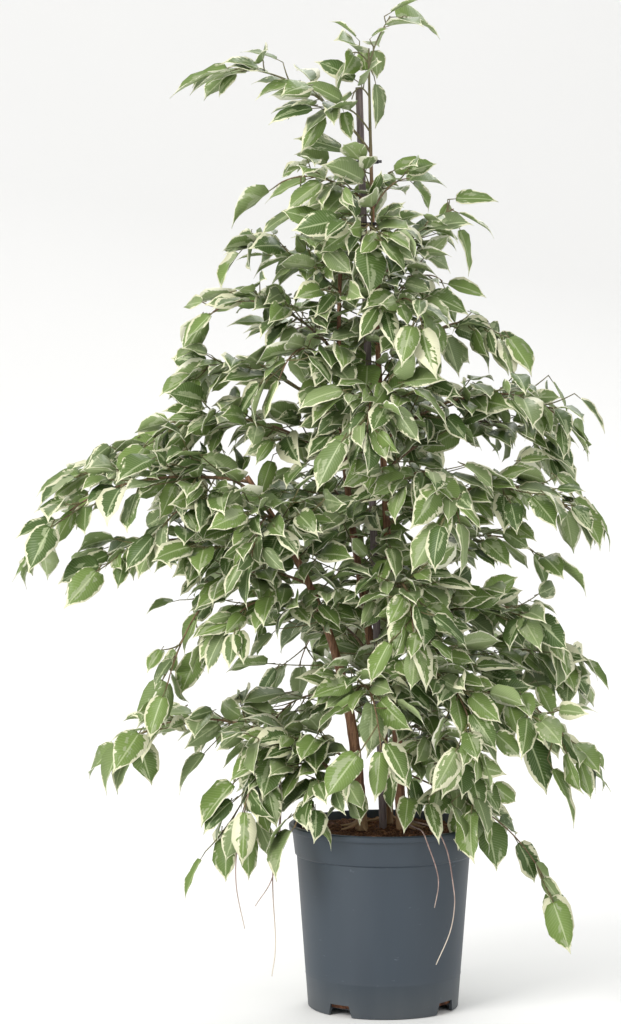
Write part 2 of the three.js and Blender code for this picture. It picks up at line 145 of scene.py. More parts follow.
def new_piece(name, bm, materials, smooth=True):
    """Turns a bmesh into an object at the origin, with its materials in order."""
    mesh = bpy.data.meshes.new(name)
    bm.to_mesh(mesh)
    bm.free()
    for material in materials:
        mesh.materials.append(material)
    if smooth:
        mesh.shade_smooth()
    piece = bpy.data.objects.new(name, mesh)
    bpy.context.scene.collection.objects.link(piece)
    return piece


# %% [markdown]
# ## Finishes
#
# Each finish is a small node tree that ends in one Principled shader. Patterns read the object's
# own coordinates, so that they stay on it, or an attribute that the leaves carry. A helper
# makes the nodes, so that a finish reads as a short recipe.


# %% A helper for node trees
class Finish:
    """A material whose nodes are made by short calls that return their output sockets."""

    def __init__(self, name, roughness, specular=0.5):
        self.material = bpy.data.materials.new(name)
        self.material.use_nodes = True
        self.tree = self.material.node_tree
        self.shader = self.tree.nodes["Principled BSDF"]
        self.shader.inputs["Roughness"].default_value = roughness
        self.shader.inputs["Specular IOR Level"].default_value = specular

    def node(self, kind, output, settings=None, **inputs):
        """Adds a node, sets its options and its inputs, and returns one of its outputs."""
        node = self.tree.nodes.new(kind)
        for key, value in (settings or {}).items():
            setattr(node, key, value)
        # An input goes by its name, or by its number as in _0
        for key, value in inputs.items():
            socket = node.inputs[int(key[1:])] if key[1:].isdigit() else node.inputs[key]
            if isinstance(value, bpy.types.NodeSocket):
                self.tree.links.new(value, socket)
            else:
                socket.default_value = value
        return node.outputs[output]

    def place(self, stretch=(1, 1, 1)):
        """The object's own coordinates, stretched."""
        coordinates = self.node("ShaderNodeTexCoord", "Object")
        return self.node("ShaderNodeMapping", 0, Vector=coordinates, Scale=stretch)

    def noise(self, vector, scale, detail=3.0, rough=0.5):
        """A cloudy pattern from 0 to 1."""
        return self.node("ShaderNodeTexNoise", "Fac", Vector=vector, Scale=scale, Detail=detail,
                         Roughness=rough)

    def maths(self, operation, a, b=0.0):
        return self.node("ShaderNodeMath", 0, {"operation": operation}, _0=a, _1=b)

    def times(self, a, b):
        return self.maths("MULTIPLY", a, b)

    def minus(self, a, b):
        return self.maths("SUBTRACT", a, b)

    def height(self):
        """The height in metres on the object."""
        return self.node("ShaderNodeSeparateXYZ", 2, _0=self.place())

    def between(self, value, low, high):
        """0 below low, 1 above high, and a smooth step from one to the other."""
        settings = {"interpolation_type": "SMOOTHSTEP"}
        return self.node("ShaderNodeMapRange", 0, settings, _0=value, _1=low, _2=high)

    def blend(self, share, a, b):
        """Colour a where the share is 0 and colour b where it is 1."""
        return self.node("ShaderNodeMix", 2, {"data_type": "RGBA"}, _0=share, _6=a, _7=b)

    def colour(self, socket):
        self.tree.links.new(socket, self.shader.inputs["Base Color"])

    def roughness(self, socket):
        self.tree.links.new(socket, self.shader.inputs["Roughness"])

    def bump(self, height, distance, strength=0.5):
        """Small bumps from a pattern, as high as a distance in metres."""
        normal = self.node("ShaderNodeBump", 0, Height=height, Distance=distance, Strength=strength)
        self.tree.links.new(normal, self.shader.inputs["Normal"])


def srgb(red, green, blue):
    """A screen colour, from 0 to 255, as the shader's linear colour."""
    def linear(value):
        share = value / 255
        return share / 12.92 if share <= 0.04045 else ((share + 0.055) / 1.055) ** 2.4
    return (linear(red), linear(green), linear(blue), 1)


# %% [markdown]
# ## Leaf finishes
#
# Every leaf carries an attribute of three numbers: how far across the blade a point is, from -1
# to 1, how far along it, from 0 to 1, and a number of the leaf's own. The first two draw the
# midrib, the side veins and the cream margin where they belong on the blade, and the third
# shifts the noise, so that no two leaves have the same patches. A photograph laid on the blade
# would make them all alike. The real margin is narrow along the sides, breaks inwards along the
# side veins and covers the drip tip.

# %% The leaf's own coordinates
LEAF_PLACE = "leaf_place"
VEIN_LEAN, VEINS_ALONG = 0.22, 9.0


class LeafFinish(Finish):
    """A finish that knows where a point lies on its leaf."""

    def __init__(self, name, roughness):
        super().__init__(name, roughness, 0.3)
        place = self.node("ShaderNodeAttribute", "Vector", {"attribute_name": LEAF_PLACE})
        split = self.tree.nodes.new("ShaderNodeSeparateXYZ")
        self.tree.links.new(place, split.inputs[0])
        self.signed, self.along, number = split.outputs
        self.across = self.maths("ABSOLUTE", self.signed)
        # A whole number, so that every point of a leaf draws the same
        self.own = self.maths("ROUND", self.times(number, 1000))

    def own_number(self, kind):
        """A number from -0.5 to 0.5 that differs from leaf to leaf."""
        line = self.node("ShaderNodeCombineXYZ", 0, _0=self.own, _2=kind)
        return self.minus(
            self.node("ShaderNodeTexWhiteNoise", "Value", {"noise_dimensions": "3D"}, Vector=line), 0.5)

    def vein_place(self):
        """Coordinates that run out along the side veins, which lean towards the tip."""
        lean = self.minus(self.along, self.times(self.across, VEIN_LEAN))
        return self.node("ShaderNodeCombineXYZ", 0, _0=self.times(lean, VEINS_ALONG), _1=self.signed,
                         _2=self.times(self.own, 0.37))

    def blade_place(self):
        """Coordinates across and along the blade."""
        return self.node("ShaderNodeCombineXYZ", 0, _0=self.signed, _1=self.along,
                         _2=self.times(self.own, 0.53))


# %% Leaf finishes
# Shares of the blade's half width
MARGIN_STARTS, MARGIN_FULL = 0.885, 0.945
MIDRIB_FULL, MIDRIB_ENDS = 0.03, 0.09


def leaf_finish(name, green, deep, patch, cream, rib, roughness):
    """A variegated blade: two greens, grey-green patches, a cream margin and pale veins."""
    finish = LeafFinish(name, roughness)
    veins = finish.vein_place()
    jagged = finish.minus(finish.noise(veins, 1.5, 3.0, 0.6), 0.5)
    cloud = finish.noise(finish.blade_place(), 1.7, 2.0)
    # Green between two tones, with grey-green patches. Some leaves are grey-green all over.
    base = finish.blend(finish.between(finish.own_number(11.0), -0.5, 0.5), deep, green)
    pale = finish.between(finish.own_number(13.0), 0.1, 0.4)
    base = finish.blend(finish.times(pale, 0.4), base, patch)
    blotch = finish.maths("ADD", cloud, finish.times(jagged, 0.3))
    base = finish.blend(finish.between(blotch, 0.56, 0.61), base, patch)
    # The cream margin is a thin line along the sides. It breaks inwards here and there, is wider
    # on one side of some leaves, and covers the drip tip.
    reach = finish.across
    for share, factor in [
        (finish.between(finish.along, 0.6, 1.0), 0.2),
        (finish.between(finish.along, 0.8, 0.92), 0.6),
        (finish.times(finish.signed, finish.own_number(5.0)), 0.3),
        (finish.own_number(3.0), 0.2),
        (finish.between(finish.own_number(7.0), 0.3, 0.5), 0.45),
        (jagged, 0.8),
        (finish.minus(cloud, 0.5), 1.4),
    ]:
        reach = finish.maths("ADD", reach, finish.times(share, factor))
    base = finish.blend(finish.between(reach, MARGIN_STARTS, MARGIN_FULL), base, cream)
    # The pale midrib and fine side veins
    side = finish.node("ShaderNodeTexWave", "Fac", {"wave_type": "BANDS"},
                       Vector=veins, Scale=0.62, Distortion=0.4)
    base = finish.blend(finish.times(finish.between(side, 0.88, 1.0), 0.2), base, rib)
    midrib = finish.between(finish.across, MIDRIB_ENDS, MIDRIB_FULL)
    base = finish.blend(finish.times(midrib, 0.65), base, rib)
    finish.colour(base)
    finish.bump(side, 0.0004, 0.3)
    return finish.material


leaf_face = leaf_finish("leaf_face", green=srgb(114, 137, 70), deep=srgb(70, 93, 44),
                        patch=srgb(146, 158, 118), cream=srgb(222, 221, 188),
                        rib=srgb(186, 197, 153), roughness=0.42)
leaf_back = leaf_finish("leaf_back", green=srgb(144, 162, 106), deep=srgb(114, 134, 80),
                        patch=srgb(164, 176, 136), cream=srgb(228, 228, 206),
                        rib=srgb(194, 204, 164), roughness=0.55)
print("nodes in a leaf finish", len(leaf_face.node_tree.nodes))

# %% [markdown]
# ## Bark
#
# Young bark is smooth, with streaks along the wood and small pale pores across it. It is paler
# at the soil, and the youngest wood at the top is green. Noise that is stretched along the
# height gives the streaks, and noise that is squeezed gives the pores. One recipe serves stems,
# branches, shoots and roots, because they differ only in their tones and in their pale foot.

# %% Bark finishes
# Heights in metres: none lies as low as the first pair
NO_PALE_FOOT = (-1.0, -0.9)
YOUNG_WOOD = (0.88, 0.99)


def bark_finish(name, light, dark, pale, pale_foot, roughness):
    """Bark with lengthwise streaks and pores, paler between two heights at its foot."""
    finish = Finish(name, roughness, 0.35)
    streaks = finish.noise(finish.place((1, 1, 0.12)), 420, 4.0, 0.65)
    pores = finish.noise(finish.place((1, 1, 2.2)), 260, 2.0)
    height = finish.height()
    base = finish.blend(finish.between(streaks, 0.35, 0.68), dark, light)
    base = finish.blend(finish.between(height, pale_foot[1], pale_foot[0]), base, pale)
    base = finish.blend(finish.times(finish.between(pores, 0.66, 0.72), 0.4), base, pale)
    base = finish.blend(finish.between(height, *YOUNG_WOOD), base, srgb(112, 108, 78))
    finish.colour(base)
    finish.bump(streaks, 0.0008, 0.6)
    return finish.material


stem_bark = bark_finish("stem_bark", srgb(156, 116, 88), srgb(102, 70, 52), srgb(176, 144, 112),
                        (0.200, 0.222), 0.62)
branch_bark = bark_finish("branch_bark", srgb(138, 112, 84), srgb(92, 72, 54), srgb(164, 142, 114),
                          NO_PALE_FOOT, 0.6)
root_bark = bark_finish("root_bark", srgb(172, 150, 143), srgb(124, 102, 97), srgb(214, 203, 187),
                        (0.060, 0.170), 0.7)
young_shoot = bark_finish("young_shoot", srgb(122, 118, 78), srgb(94, 86, 58), srgb(150, 142, 104),
                          NO_PALE_FOOT, 0.5)
print("nodes in a bark finish", len(stem_bark.node_tree.nodes))

# %% [markdown]
# ## Plastic, coir and cane
#
# The pot is moulded plastic with a slight gloss, faint flow marks, pale scuffs and dust at its
# foot. The soil is crumbly and quite matt. The stake is stained wood, streaked along its length,
# and the ties are black plastic with fine ribs. Each could be painted on an image, but noise on
# the object's own coordinates has no seams and stays sharp from near.


# %% Plastic, coir and cane finishes
def pot_finish():
    """Moulded blue-grey plastic: fine grain, faint flow marks, pale scuffs and dust."""
    finish = Finish("pot_plastic", 0.5, 0.5)
    flow = finish.noise(finish.place((1, 1, 0.25)), 28, 4.0)
    grain = finish.noise(finish.place(), 900, 2.0)
    scuffs = finish.between(finish.noise(finish.place((1, 1, 3.5)), 62, 5.0, 0.7), 0.65, 0.74)
    dust = finish.times(finish.between(finish.height(), 0.05, 0.0), flow)
    base = finish.blend(flow, srgb(42, 52, 62), srgb(54, 65, 75))
    base = finish.blend(finish.times(scuffs, 0.36), base, srgb(128, 138, 146))
    base = finish.blend(finish.times(dust, 0.45), base, srgb(104, 104, 100))
    finish.colour(base)
    finish.roughness(finish.maths("ADD", finish.times(flow, 0.22), 0.36))
    finish.bump(grain, 0.0002, 0.35)
    return finish.material


def soil_finish(name, dark, light):
    """Crumbs of two tones, darkened in patches by painted shade where hollows between lumps lie."""
    finish = Finish(name, 0.95, 0.2)
    crumbs = finish.noise(finish.place(), 310, 5.0, 0.7)
    hollow_shade = finish.noise(finish.place(), 70, 3.0)
    base = finish.blend(finish.between(crumbs, 0.38, 0.68), dark, light)
    # Painted shade: darker patches stand for the shade in the hollows between the lumps
    base = finish.blend(finish.times(finish.between(hollow_shade, 0.5, 0.7), 0.5), base, dark)
    finish.colour(base)
    finish.bump(crumbs, 0.002, 0.9)
    return finish.material


def cane_finish():
    """The stake: stained wood, streaked along its length."""
    finish = Finish("stake_cane", 0.55, 0.4)
    streaks = finish.noise(finish.place((1, 1, 0.05)), 700, 4.0, 0.6)
    patches = finish.noise(finish.place((1, 1, 0.4)), 60, 2.0)
    base = finish.blend(finish.between(streaks, 0.3, 0.7), srgb(92, 80, 84), srgb(140, 128, 130))
    base = finish.blend(finish.times(patches, 0.3), base, srgb(120, 104, 96))
    finish.colour(base)
    finish.bump(streaks, 0.0006, 0.5)
    return finish.material


def tie_finish():
    """Black plastic with fine ribs."""
    finish = Finish("tie_plastic", 0.42, 0.5)
    ribs = finish.noise(finish.place((1, 1, 4)), 600, 2.0)
    finish.colour(finish.blend(ribs, srgb(16, 16, 18), srgb(34, 34, 37)))
    finish.bump(ribs, 0.0002, 0.4)
    return finish.material


pot_plastic = pot_finish()
coir = soil_finish("coir", srgb(58, 36, 26), srgb(132, 88, 62))
bark_chip = soil_finish("bark_chip", srgb(84, 56, 40), srgb(166, 122, 90))
stake_cane = cane_finish()
tie_plastic = tie_finish()
print("finishes so far", len(bpy.data.materials))

# %% [markdown]
# ## The backdrop
#
# A studio hangs a wide roll of pale paper that bends up behind the object, so that no line shows
# between floor and wall. Two planes would meet in a corner. Here one corner is spun a quarter
# turn into the bend, its end is drawn up into the wall, and the whole line is swept sideways.

# %% Backdrop
# Sizes in metres. The paper lies a hair under the pot.
PAPER_WIDTH, PAPER_FRONT, PAPER_DROP = 16, -6, 0.0005
BEND_START, BEND_RADIUS, WALL_RISE = 2.2, 2.5, 4


def paper_finish():
    finish = Finish("floor_paint", 0.8, 0.3)
    cloud = finish.noise(finish.place(), 0.6, 2.0)
    finish.colour(finish.blend(cloud, srgb(236, 236, 235), srgb(242, 242, 241)))
    return finish.material


paper = bmesh.new()
strip = [paper.verts.new((-PAPER_WIDTH / 2, y, -PAPER_DROP)) for y in (PAPER_FRONT, BEND_START)]
paper.edges.new(strip)
bend = bmesh.ops.spin(paper, geom=[strip[1]], cent=(0, BEND_START, BEND_RADIUS), axis=(1, 0, 0),
                      angle=math.pi / 2, steps=24)["geom_last"]
wall_top = bmesh.ops.extrude_vert_indiv(paper, verts=corners_in(bend))["verts"]
bmesh.ops.translate(paper, vec=(0, 0, WALL_RISE), verts=wall_top)
swept = bmesh.ops.extrude_edge_only(paper, edges=paper.edges[:])["geom"]
bmesh.ops.translate(paper, vec=(PAPER_WIDTH, 0, 0), verts=corners_in(swept))
floor = new_piece("floor", paper, [paper_finish()])
print("backdrop faces", len(floor.data.polygons))

# %% [markdown]
# ## The pot
#
# A nursery pot is moulded plastic: a thin tapering wall, a wider collar under a rolled lip, and
# drain notches in its foot. A spin of half of its cross-section makes the whole shell at once,
# with closed poles, and four cutters take the notches out, as slides in the mould would.

# %% Sizes and outline of the pot
# The underside is high but for its middle pad and the ring of its foot
POT_SIDES = 128
POT_HEIGHT, RIM_RADIUS, LIP_HEIGHT = 203, 105, 6.5
COLLAR_FOOT, COLLAR_TOP_RADIUS, COLLAR_FOOT_RADIUS = 170, 101.5, 98.2
FOOT_RADIUS, UNDERSIDE, FLOOR_THICKNESS, PAD_RADIUS = 83.5, 6, 2.5, 18
EDGE_ROUNDING = 0.9


def spun(profile, sides):
    """A closed shell of revolution round the Z axis from a profile of radii and heights in mm."""
    bm = bmesh.new()
    verts = [bm.verts.new((radius * MM, 0, height * MM)) for radius, height in profile]
    edges = [bm.edges.new(pair) for pair in zip(verts, verts[1:])]
    bmesh.ops.spin(bm, geom=verts + edges, cent=(0, 0, 0), axis=(0, 0, 1), angle=2 * math.pi,
                   steps=sides, use_merge=True)
    return cleaned(bm)


def rounded(profile, corners, radius, segments=3):
    """The profile in mm with an arc in place of some of its corners."""
    points = []
    for i, point in enumerate(profile):
        here = Vector(point)
        if i not in corners:
            points.append(point)
            continue
        before = (Vector(profile[i - 1]) - here).normalized() * radius
        after = (Vector(profile[i + 1]) - here).normalized() * radius
        for step in range(segments + 1):
            share = step / segments
            start = here + before * (1 - share)
            end = here + after * share
            points.append(tuple(start.lerp(end, share)))
    return points


LIP_FOOT = POT_HEIGHT - LIP_HEIGHT
INSIDE_FLOOR = UNDERSIDE + FLOOR_THICKNESS
underside = [(0, 0), (PAD_RADIUS, 0), (PAD_RADIUS + 2, UNDERSIDE), (FOOT_RADIUS - 4, UNDERSIDE),
             (FOOT_RADIUS - 3.6, 0), (FOOT_RADIUS, 0)]
# The wall has a faint moulding line low down and a step under the collar
wall_outside = [(86.2, 35.6), (86.6, 36.6), (86.4, 37.6), (96.2, COLLAR_FOOT - 3),
                (96.0, COLLAR_FOOT - 2), (COLLAR_FOOT_RADIUS, COLLAR_FOOT),
                (COLLAR_TOP_RADIUS, LIP_FOOT)]
lip = [(RIM_RADIUS - 0.5, LIP_FOOT - 0.5), (RIM_RADIUS, LIP_FOOT + 3), (RIM_RADIUS, 201.6),
       (103.6, POT_HEIGHT), (100.3, POT_HEIGHT)]
inside = [(99.5, LIP_FOOT), (94.4, COLLAR_FOOT - 4), (81.5, INSIDE_FLOOR), (0, INSIDE_FLOOR)]
pot_profile = rounded(underside + wall_outside + lip + inside, {5, 13, 16, 17}, EDGE_ROUNDING)
pot = new_piece("pot_shell", spun(pot_profile, POT_SIDES), [pot_plastic])
print("points on the pot's outline", len(pot_profile))

# %% Drain notches
NOTCH_TURNS = [54, 144, 234, 324]
NOTCH_HEIGHT, NOTCH_TOP_WIDTH, NOTCH_FOOT_WIDTH = 13, 24, 31
# The cutter reaches this far to both sides of its middle in the wall, and below the foot
NOTCH_MIDDLE, NOTCH_REACH, NOTCH_DROP = 83, 10, 1


def notch_cutter(turn):
    """A wedge that takes a trapezium out of the foot of the wall."""
    bm = bmesh.new()
    bmesh.ops.create_cube(bm, size=2)
    for vert in bm.verts:
        half, height = NOTCH_FOOT_WIDTH / 2, -NOTCH_DROP
        if vert.co.z > 0:
            half, height = NOTCH_TOP_WIDTH / 2, NOTCH_HEIGHT
        vert.co = Vector((half * vert.co.x, NOTCH_REACH * vert.co.y - NOTCH_MIDDLE, height)) * MM
    bmesh.ops.rotate(bm, verts=bm.verts, matrix=Matrix.Rotation(math.radians(turn), 3, "Z"))
    return new_piece(f"cutter_{turn}", bm, [], smooth=False)


for turn in NOTCH_TURNS:
    cutter = notch_cutter(turn)
    cut = pot.modifiers.new("notch", "BOOLEAN")
    cut.operation = "DIFFERENCE"
    cut.object = cutter
    bpy.context.view_layer.objects.active = pot
    bpy.ops.object.modifier_apply(modifier=cut.name)
    bpy.data.objects.remove(cutter)
pot.data.set_sharp_from_angle(angle=math.radians(34))
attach(pot, "root")
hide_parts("pot")
print("pot faces", len(pot.data.polygons))

# %% [markdown]
# ## The soil
#
# The pot is filled with coir and bark. A spun solid fills the pot as the frame's solid does, and
# its top is inset again and again and pushed up and down by noise into crumbs. A texture alone
# would leave a flat line behind the rim, where the photograph shows a rough one.


# %% The soil's surface
SOIL_EDGE, SOIL_CROWN, SOIL_SLOPE = 98.0, 198.0, 3.2


def draw(branch, place, kind):
    """A repeatable number from 0 to 1."""
    wave = math.sin(branch * 12.9898 + place * 78.233 + kind * 37.719) * 43758.5453
    return wave - math.floor(wave)


def soil_height(x, y):
    """The height in mm of the soil's surface at a place in mm."""
    out = min(math.hypot(x, y) / SOIL_EDGE, 1)
    crown = SOIL_CROWN - SOIL_SLOPE * out ** 2.4
    # Lumps some 18 mm wide and crumbs some 2 mm wide, flatter near the wall
    lumps = noise.fractal(Vector((x, y, 0)) * 0.055, 1.0, 2.0, 3) * 1.7
    crumbs = noise.noise(Vector((x, y, 7)) * 0.42) * 0.9
    return crown - 0.9 + (lumps + crumbs) * (1 - 0.6 * out ** 6)


print("height of the soil in the middle", round(soil_height(0, 0), 1), "mm")

# %% Soil
SOIL_SIDES, SOIL_RINGS, RING_WIDTH = 96, 26, 3.7
# The fill stays clear of the pot's wall, and its top lies above the first of these heights
SOIL_OUTLINE = [(0, 8.9), (81, 8.9), (93.9, 166), (97.6, 190), (SOIL_EDGE, 193.6)]
SURFACE_FROM, SURFACE_REACH = 193, 97.5

soil_mesh = spun(SOIL_OUTLINE, SOIL_SIDES)
rim = [e for e in soil_mesh.edges if e.is_boundary]
top = bmesh.ops.edgeloop_fill(soil_mesh, edges=rim)["faces"]
for _ in range(SOIL_RINGS):
    bmesh.ops.inset_region(soil_mesh, faces=top, thickness=RING_WIDTH * MM, use_even_offset=True)
bmesh.ops.recalc_face_normals(soil_mesh, faces=soil_mesh.faces)
for vert in soil_mesh.verts:
    x, y, z = (c / MM for c in vert.co)
    if z > SURFACE_FROM and math.hypot(x, y) < SURFACE_REACH:
        vert.co.z = soil_height(x, y) * MM
soil = new_piece("soil_fill", soil_mesh, [coir])
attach(soil, "root")
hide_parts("soil")
print("soil faces", len(soil.data.polygons))

# %% [markdown]
# ## Bark chips
#
# Loose chips of bark lie on the soil. They could be scattered by a particle system, but copies
# in one mesh need nothing else. Each is a small flat crumb of a few faces, because there are
# hundreds: a coarse ball whose corners are pulled in and out by repeatable draws.

# %% Bark chips
CHIPS, CHIP_REACH = 420, 93
CHIP_SEED = 61


def add_chip(bm, i):
    """A flat crumb of bark that lies at a place and in a direction of its own."""
    size = 1.4 + 3.4 * draw(CHIP_SEED, i, 5) ** 2
    verts = bmesh.ops.create_icosphere(bm, subdivisions=1, radius=size * MM)["verts"]
    for j, vert in enumerate(verts):
        vert.co *= 0.75 + 0.5 * draw(CHIP_SEED + 1, i, j)
    flat = (1.0, 0.45 + 0.4 * draw(CHIP_SEED, i, 6), 0.35 + 0.25 * draw(CHIP_SEED, i, 7))
    bmesh.ops.scale(bm, vec=flat, verts=verts)
    reach = CHIP_REACH * math.sqrt(draw(CHIP_SEED, i, 1))
    turn = 2 * math.pi * draw(CHIP_SEED, i, 2)
    x, y = reach * math.cos(turn), reach * math.sin(turn)
    tilt = Quaternion((1, 0, 0), 0.5 * (draw(CHIP_SEED, i, 3) - 0.5))
    spin = Quaternion((0, 0, 1), 2 * math.pi * draw(CHIP_SEED, i, 4))
    place = Matrix.Translation(Vector((x, y, soil_height(x, y) + 0.5)) * MM)
    bmesh.ops.transform(bm, matrix=place @ (spin @ tilt).to_matrix().to_4x4(), verts=verts)


chip_mesh = bmesh.new()
for i in range(CHIPS):
    add_chip(chip_mesh, i)
chips = new_piece("soil_chips", chip_mesh, [bark_chip], smooth=False)
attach(chips, "root")
print("chip faces", len(chips.data.polygons))

# %% [markdown]
# ## Curves that carry everything
#
# Stems and branches are cubic curves with four points each. The part's solids follow them in
# straight steps from ring to ring, and the finer wood here follows the curves themselves. Both
# use the same rules and the same repeatable draws, so that each fine leaf comes to lie on the
# faceted leaf that it stands for.


# %% Cubic curves
class Cubic:
    """A cubic curve through its first and last points, in mm."""

    def __init__(self, points, steps):
        self.points = [Vector(p) for p in points]
        self.steps = steps
        fine = [self.point(i / 200) for i in range(201)]
        self.length = sum((b - a).length for a, b in zip(fine, fine[1:]))

    def point(self, t):
        a, b, c, d = self.points
        s = 1 - t
        return a * s ** 3 + b * (3 * s * s * t) + c * (3 * s * t * t) + d * t ** 3

    def tangent(self, t):
        a, b, c, d = self.points
        s = 1 - t
        return ((b - a) * s * s + (c - b) * (2 * s * t) + (d - c) * t * t).normalized()

    def on_steps(self, t):
        """The point at that share on the straight lines from ring to ring."""
        ring = min(math.floor(t * self.steps), self.steps - 1)
        low = self.point(ring / self.steps)
        return low.lerp(self.point((ring + 1) / self.steps), t * self.steps - ring)

    def share_at(self, height):
        """The share of the curve at which it reaches a height, found by halving."""
        low, high = 0, 1
        for _ in range(40):
            middle = (low + high) / 2
            if self.point(middle).z < height:
                low = middle
            else:
                high = middle
        return (low + high) / 2


class Straight(Cubic):
    """A straight line from one point to another, with the same calls."""

    def __init__(self, start, end):
        super().__init__([start, start.lerp(end, 1 / 3), start.lerp(end, 2 / 3), end], 1)
        self.length = (end - start).length

    def point(self, t):
        return self.points[0].lerp(self.points[3], t)


def out_from(azimuth):
    """A level direction, in degrees round from the right."""
    return Vector((math.cos(math.radians(azimuth)), math.sin(math.radians(azimuth)), 0))


# %% Stems and stake as curves
# Each stem: its curve in mm, its radius at the root and at the tip, and where its ridges run
STEMS = {
    "left": (Cubic([(-22, -12, 150), (-28, -14, 340), (-50, -30, 440), (-150, -55, 590)], 7),
             7.2, 2.8, [150, 215, 280]),
    "back": (Cubic([(6, 25, 150), (10, 27, 420), (-66, 12, 520), (-46, 6, 850)], 8),
             6.4, 2.0, [30, 95, 160]),
    "leader": (Cubic([(22, -6, 150), (10, -8, 460), (-13, -7, 760), (-17, -6, 1058)], 8),
               6.2, 1.2, [305, 350, 40]),
}
STAKE_FOOT, STAKE_TOP = Vector((5.2, 0, 40)), Vector((-27.5, 0, 1016))
for name, (curve, *_) in STEMS.items():
    print("stem", name, "length", round(curve.length), "mm")

# %% [markdown]
# ## Round wood
#
# Wood, roots and fibres are all round and get thinner towards their tips. A ring could be
# extruded from point to point, but it would twist at each bend. A curve object does that well:
# its bevel makes it round, each of its points has a radius, and it becomes a mesh at the end.


# %% Round wood
def wood_bmesh(runs, resolution):
    """Round wood along lists of (point in mm, radius in mm), with closed ends."""
    data = bpy.data.curves.new("wood", "CURVE")
    data.dimensions = "3D"
    data.bevel_depth = MM
    data.bevel_resolution = resolution
    data.use_fill_caps = True
    for run in runs:
        spline = data.splines.new("POLY")
        spline.points.add(len(run) - 1)
        for point, (place, radius) in zip(spline.points, run):
            point.co = (*(place * MM), 1)
            point.radius = radius
    holder = bpy.data.objects.new("wood", data)
    bpy.context.scene.collection.objects.link(holder)
    bpy.context.view_layer.update()
    mesh = bpy.data.meshes.new_from_object(holder.evaluated_get(bpy.context.evaluated_depsgraph_get()))
    bm = bmesh.new()
    bm.from_mesh(mesh)
    bpy.data.objects.remove(holder)
    bpy.data.curves.remove(data)
    bpy.data.meshes.remove(mesh)
    return cleaned(bm)


def wood_piece(name, runs, material, resolution):
    """The same wood as an object at the origin."""
    return new_piece(name, wood_bmesh(runs, resolution), [material])


# %% [markdown]
# ## Coir fibres
#
# Thin fibres of coir stand out of the soil among the chips. Real ones are as fine as hair, so
# a few hundred slightly thicker ones stand for them. Each is a bent line of five points that
# follow the soil's surface, and the bevel of the curve is left square to save faces.

# %% Coir fibres
FIBRES, FIBRE_REACH, FIBRE_LIMIT = 260, 90, 95
FIBRE_SEED = 67


def fibre_run(i):
    """A bent fibre that lies on the soil: five points that follow its surface."""
    reach = FIBRE_REACH * math.sqrt(draw(FIBRE_SEED, i, 1))
    turn = 2 * math.pi * draw(FIBRE_SEED, i, 2)
    middle = Vector((reach * math.cos(turn), reach * math.sin(turn), 0))
    along = out_from(360 * draw(FIBRE_SEED, i, 3))
    aside = UP.cross(along) * (8 * (draw(FIBRE_SEED, i, 4) - 0.5))
    half = 4 + 8 * draw(FIBRE_SEED, i, 5)
    run = []
    for step in (-1, -0.5, 0, 0.5, 1):
        spot = middle + along * (half * step) + aside * (1 - step * step)
        if spot.xy.length > FIBRE_LIMIT:
            spot.xy *= FIBRE_LIMIT / spot.xy.length
        lift = 0.4 + 2.2 * draw(FIBRE_SEED, i, 6) * (1 - abs(step))
        spot.z = soil_height(spot.x, spot.y) + lift
        run.append((spot, 0.34 - 0.12 * abs(step)))
    return run


fibres = wood_piece("soil_fibres", [fibre_run(i) for i in range(FIBRES)], bark_chip, 0)
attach(fibres, "root")
print("fibre faces", len(fibres.data.polygons))

# %% [markdown]
# ## Stems and the roots over the rim
#
# Young fig wood is smooth but never quite straight or even: it thickens a little at each old
# leaf scar, and spreads into a few root ridges at the soil. Two thin roots run on over the rim
# and hang before the pot. Sculpting would give each bump its own shape, but a radius that swells
# by noise and at even steps is enough at this size, and keeps the stem one clean tube.

# %% Stems
STEM_STEPS, SCAR_SPACING = 90, 21


def stem_run(curve, root, tip, steps):
    """Points and radii up a stem, uneven by noise and thicker at its leaf scars."""
    run = []
    for i in range(steps + 1):
        share = i / steps
        swell = 1 + 0.07 * noise.noise(Vector((share * 40, root, 3)))
        scar = 1 + 0.1 * max(0, math.cos(share * curve.length / SCAR_SPACING * 2 * math.pi)) ** 12
        run.append((curve.point(share), (root + (tip - root) * share) * swell * scar))
    return run


def ridge_runs(curve, root, ridges):
    """Root ridges that run from the stem down over the soil."""
    foot = curve.point(curve.share_at(SOIL_CROWN))
    runs = []
    for i, azimuth in enumerate(ridges):
        out = out_from(azimuth)
        reach = 24 + 8 * draw(azimuth, i, 9)
        points = [(0, 13), (root * 0.9, 6), (root * 1.8, 3.4), (reach, 1.8)]
        line = Cubic([foot + out * r + UP * (SOIL_CROWN + rise - foot.z) for r, rise in points], 3)
        runs.append([(line.point(k / 9), 3.0 - 2.2 * k / 9) for k in range(10)])
    return runs


for name, (curve, root, tip, ridges) in STEMS.items():
    runs = [stem_run(curve, root, tip, STEM_STEPS), *ridge_runs(curve, root, ridges)]
    stem = wood_piece(f"wood_{name}", runs, stem_bark, 4)
    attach(stem, "root")
    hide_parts(f"stem_{name}")
    print("stem", name, "faces", len(stem.data.polygons))


# %% Roots over the rim
def thread_run(points, steps=36, radius=1.0):
    """A thin root through its points: each step is a smooth blend of the four round it."""
    points = [Vector(p) for p in points]
    ends = [2 * points[0] - points[1], *points, 2 * points[-1] - points[-2]]
    run = []
    for k in range(steps + 1):
        place = k / steps * (len(points) - 1)
        i = min(int(place), len(points) - 2)
        t = place - i
        a, b, c, d = ends[i:i + 4]
        spot = 0.5 * ((2 * b) + (c - a) * t + (2 * a - 5 * b + 4 * c - d) * t * t
                      + (3 * b - a - 3 * c + d) * t ** 3)
        run.append((spot, radius * (1 - 0.45 * k / steps)))
    return run


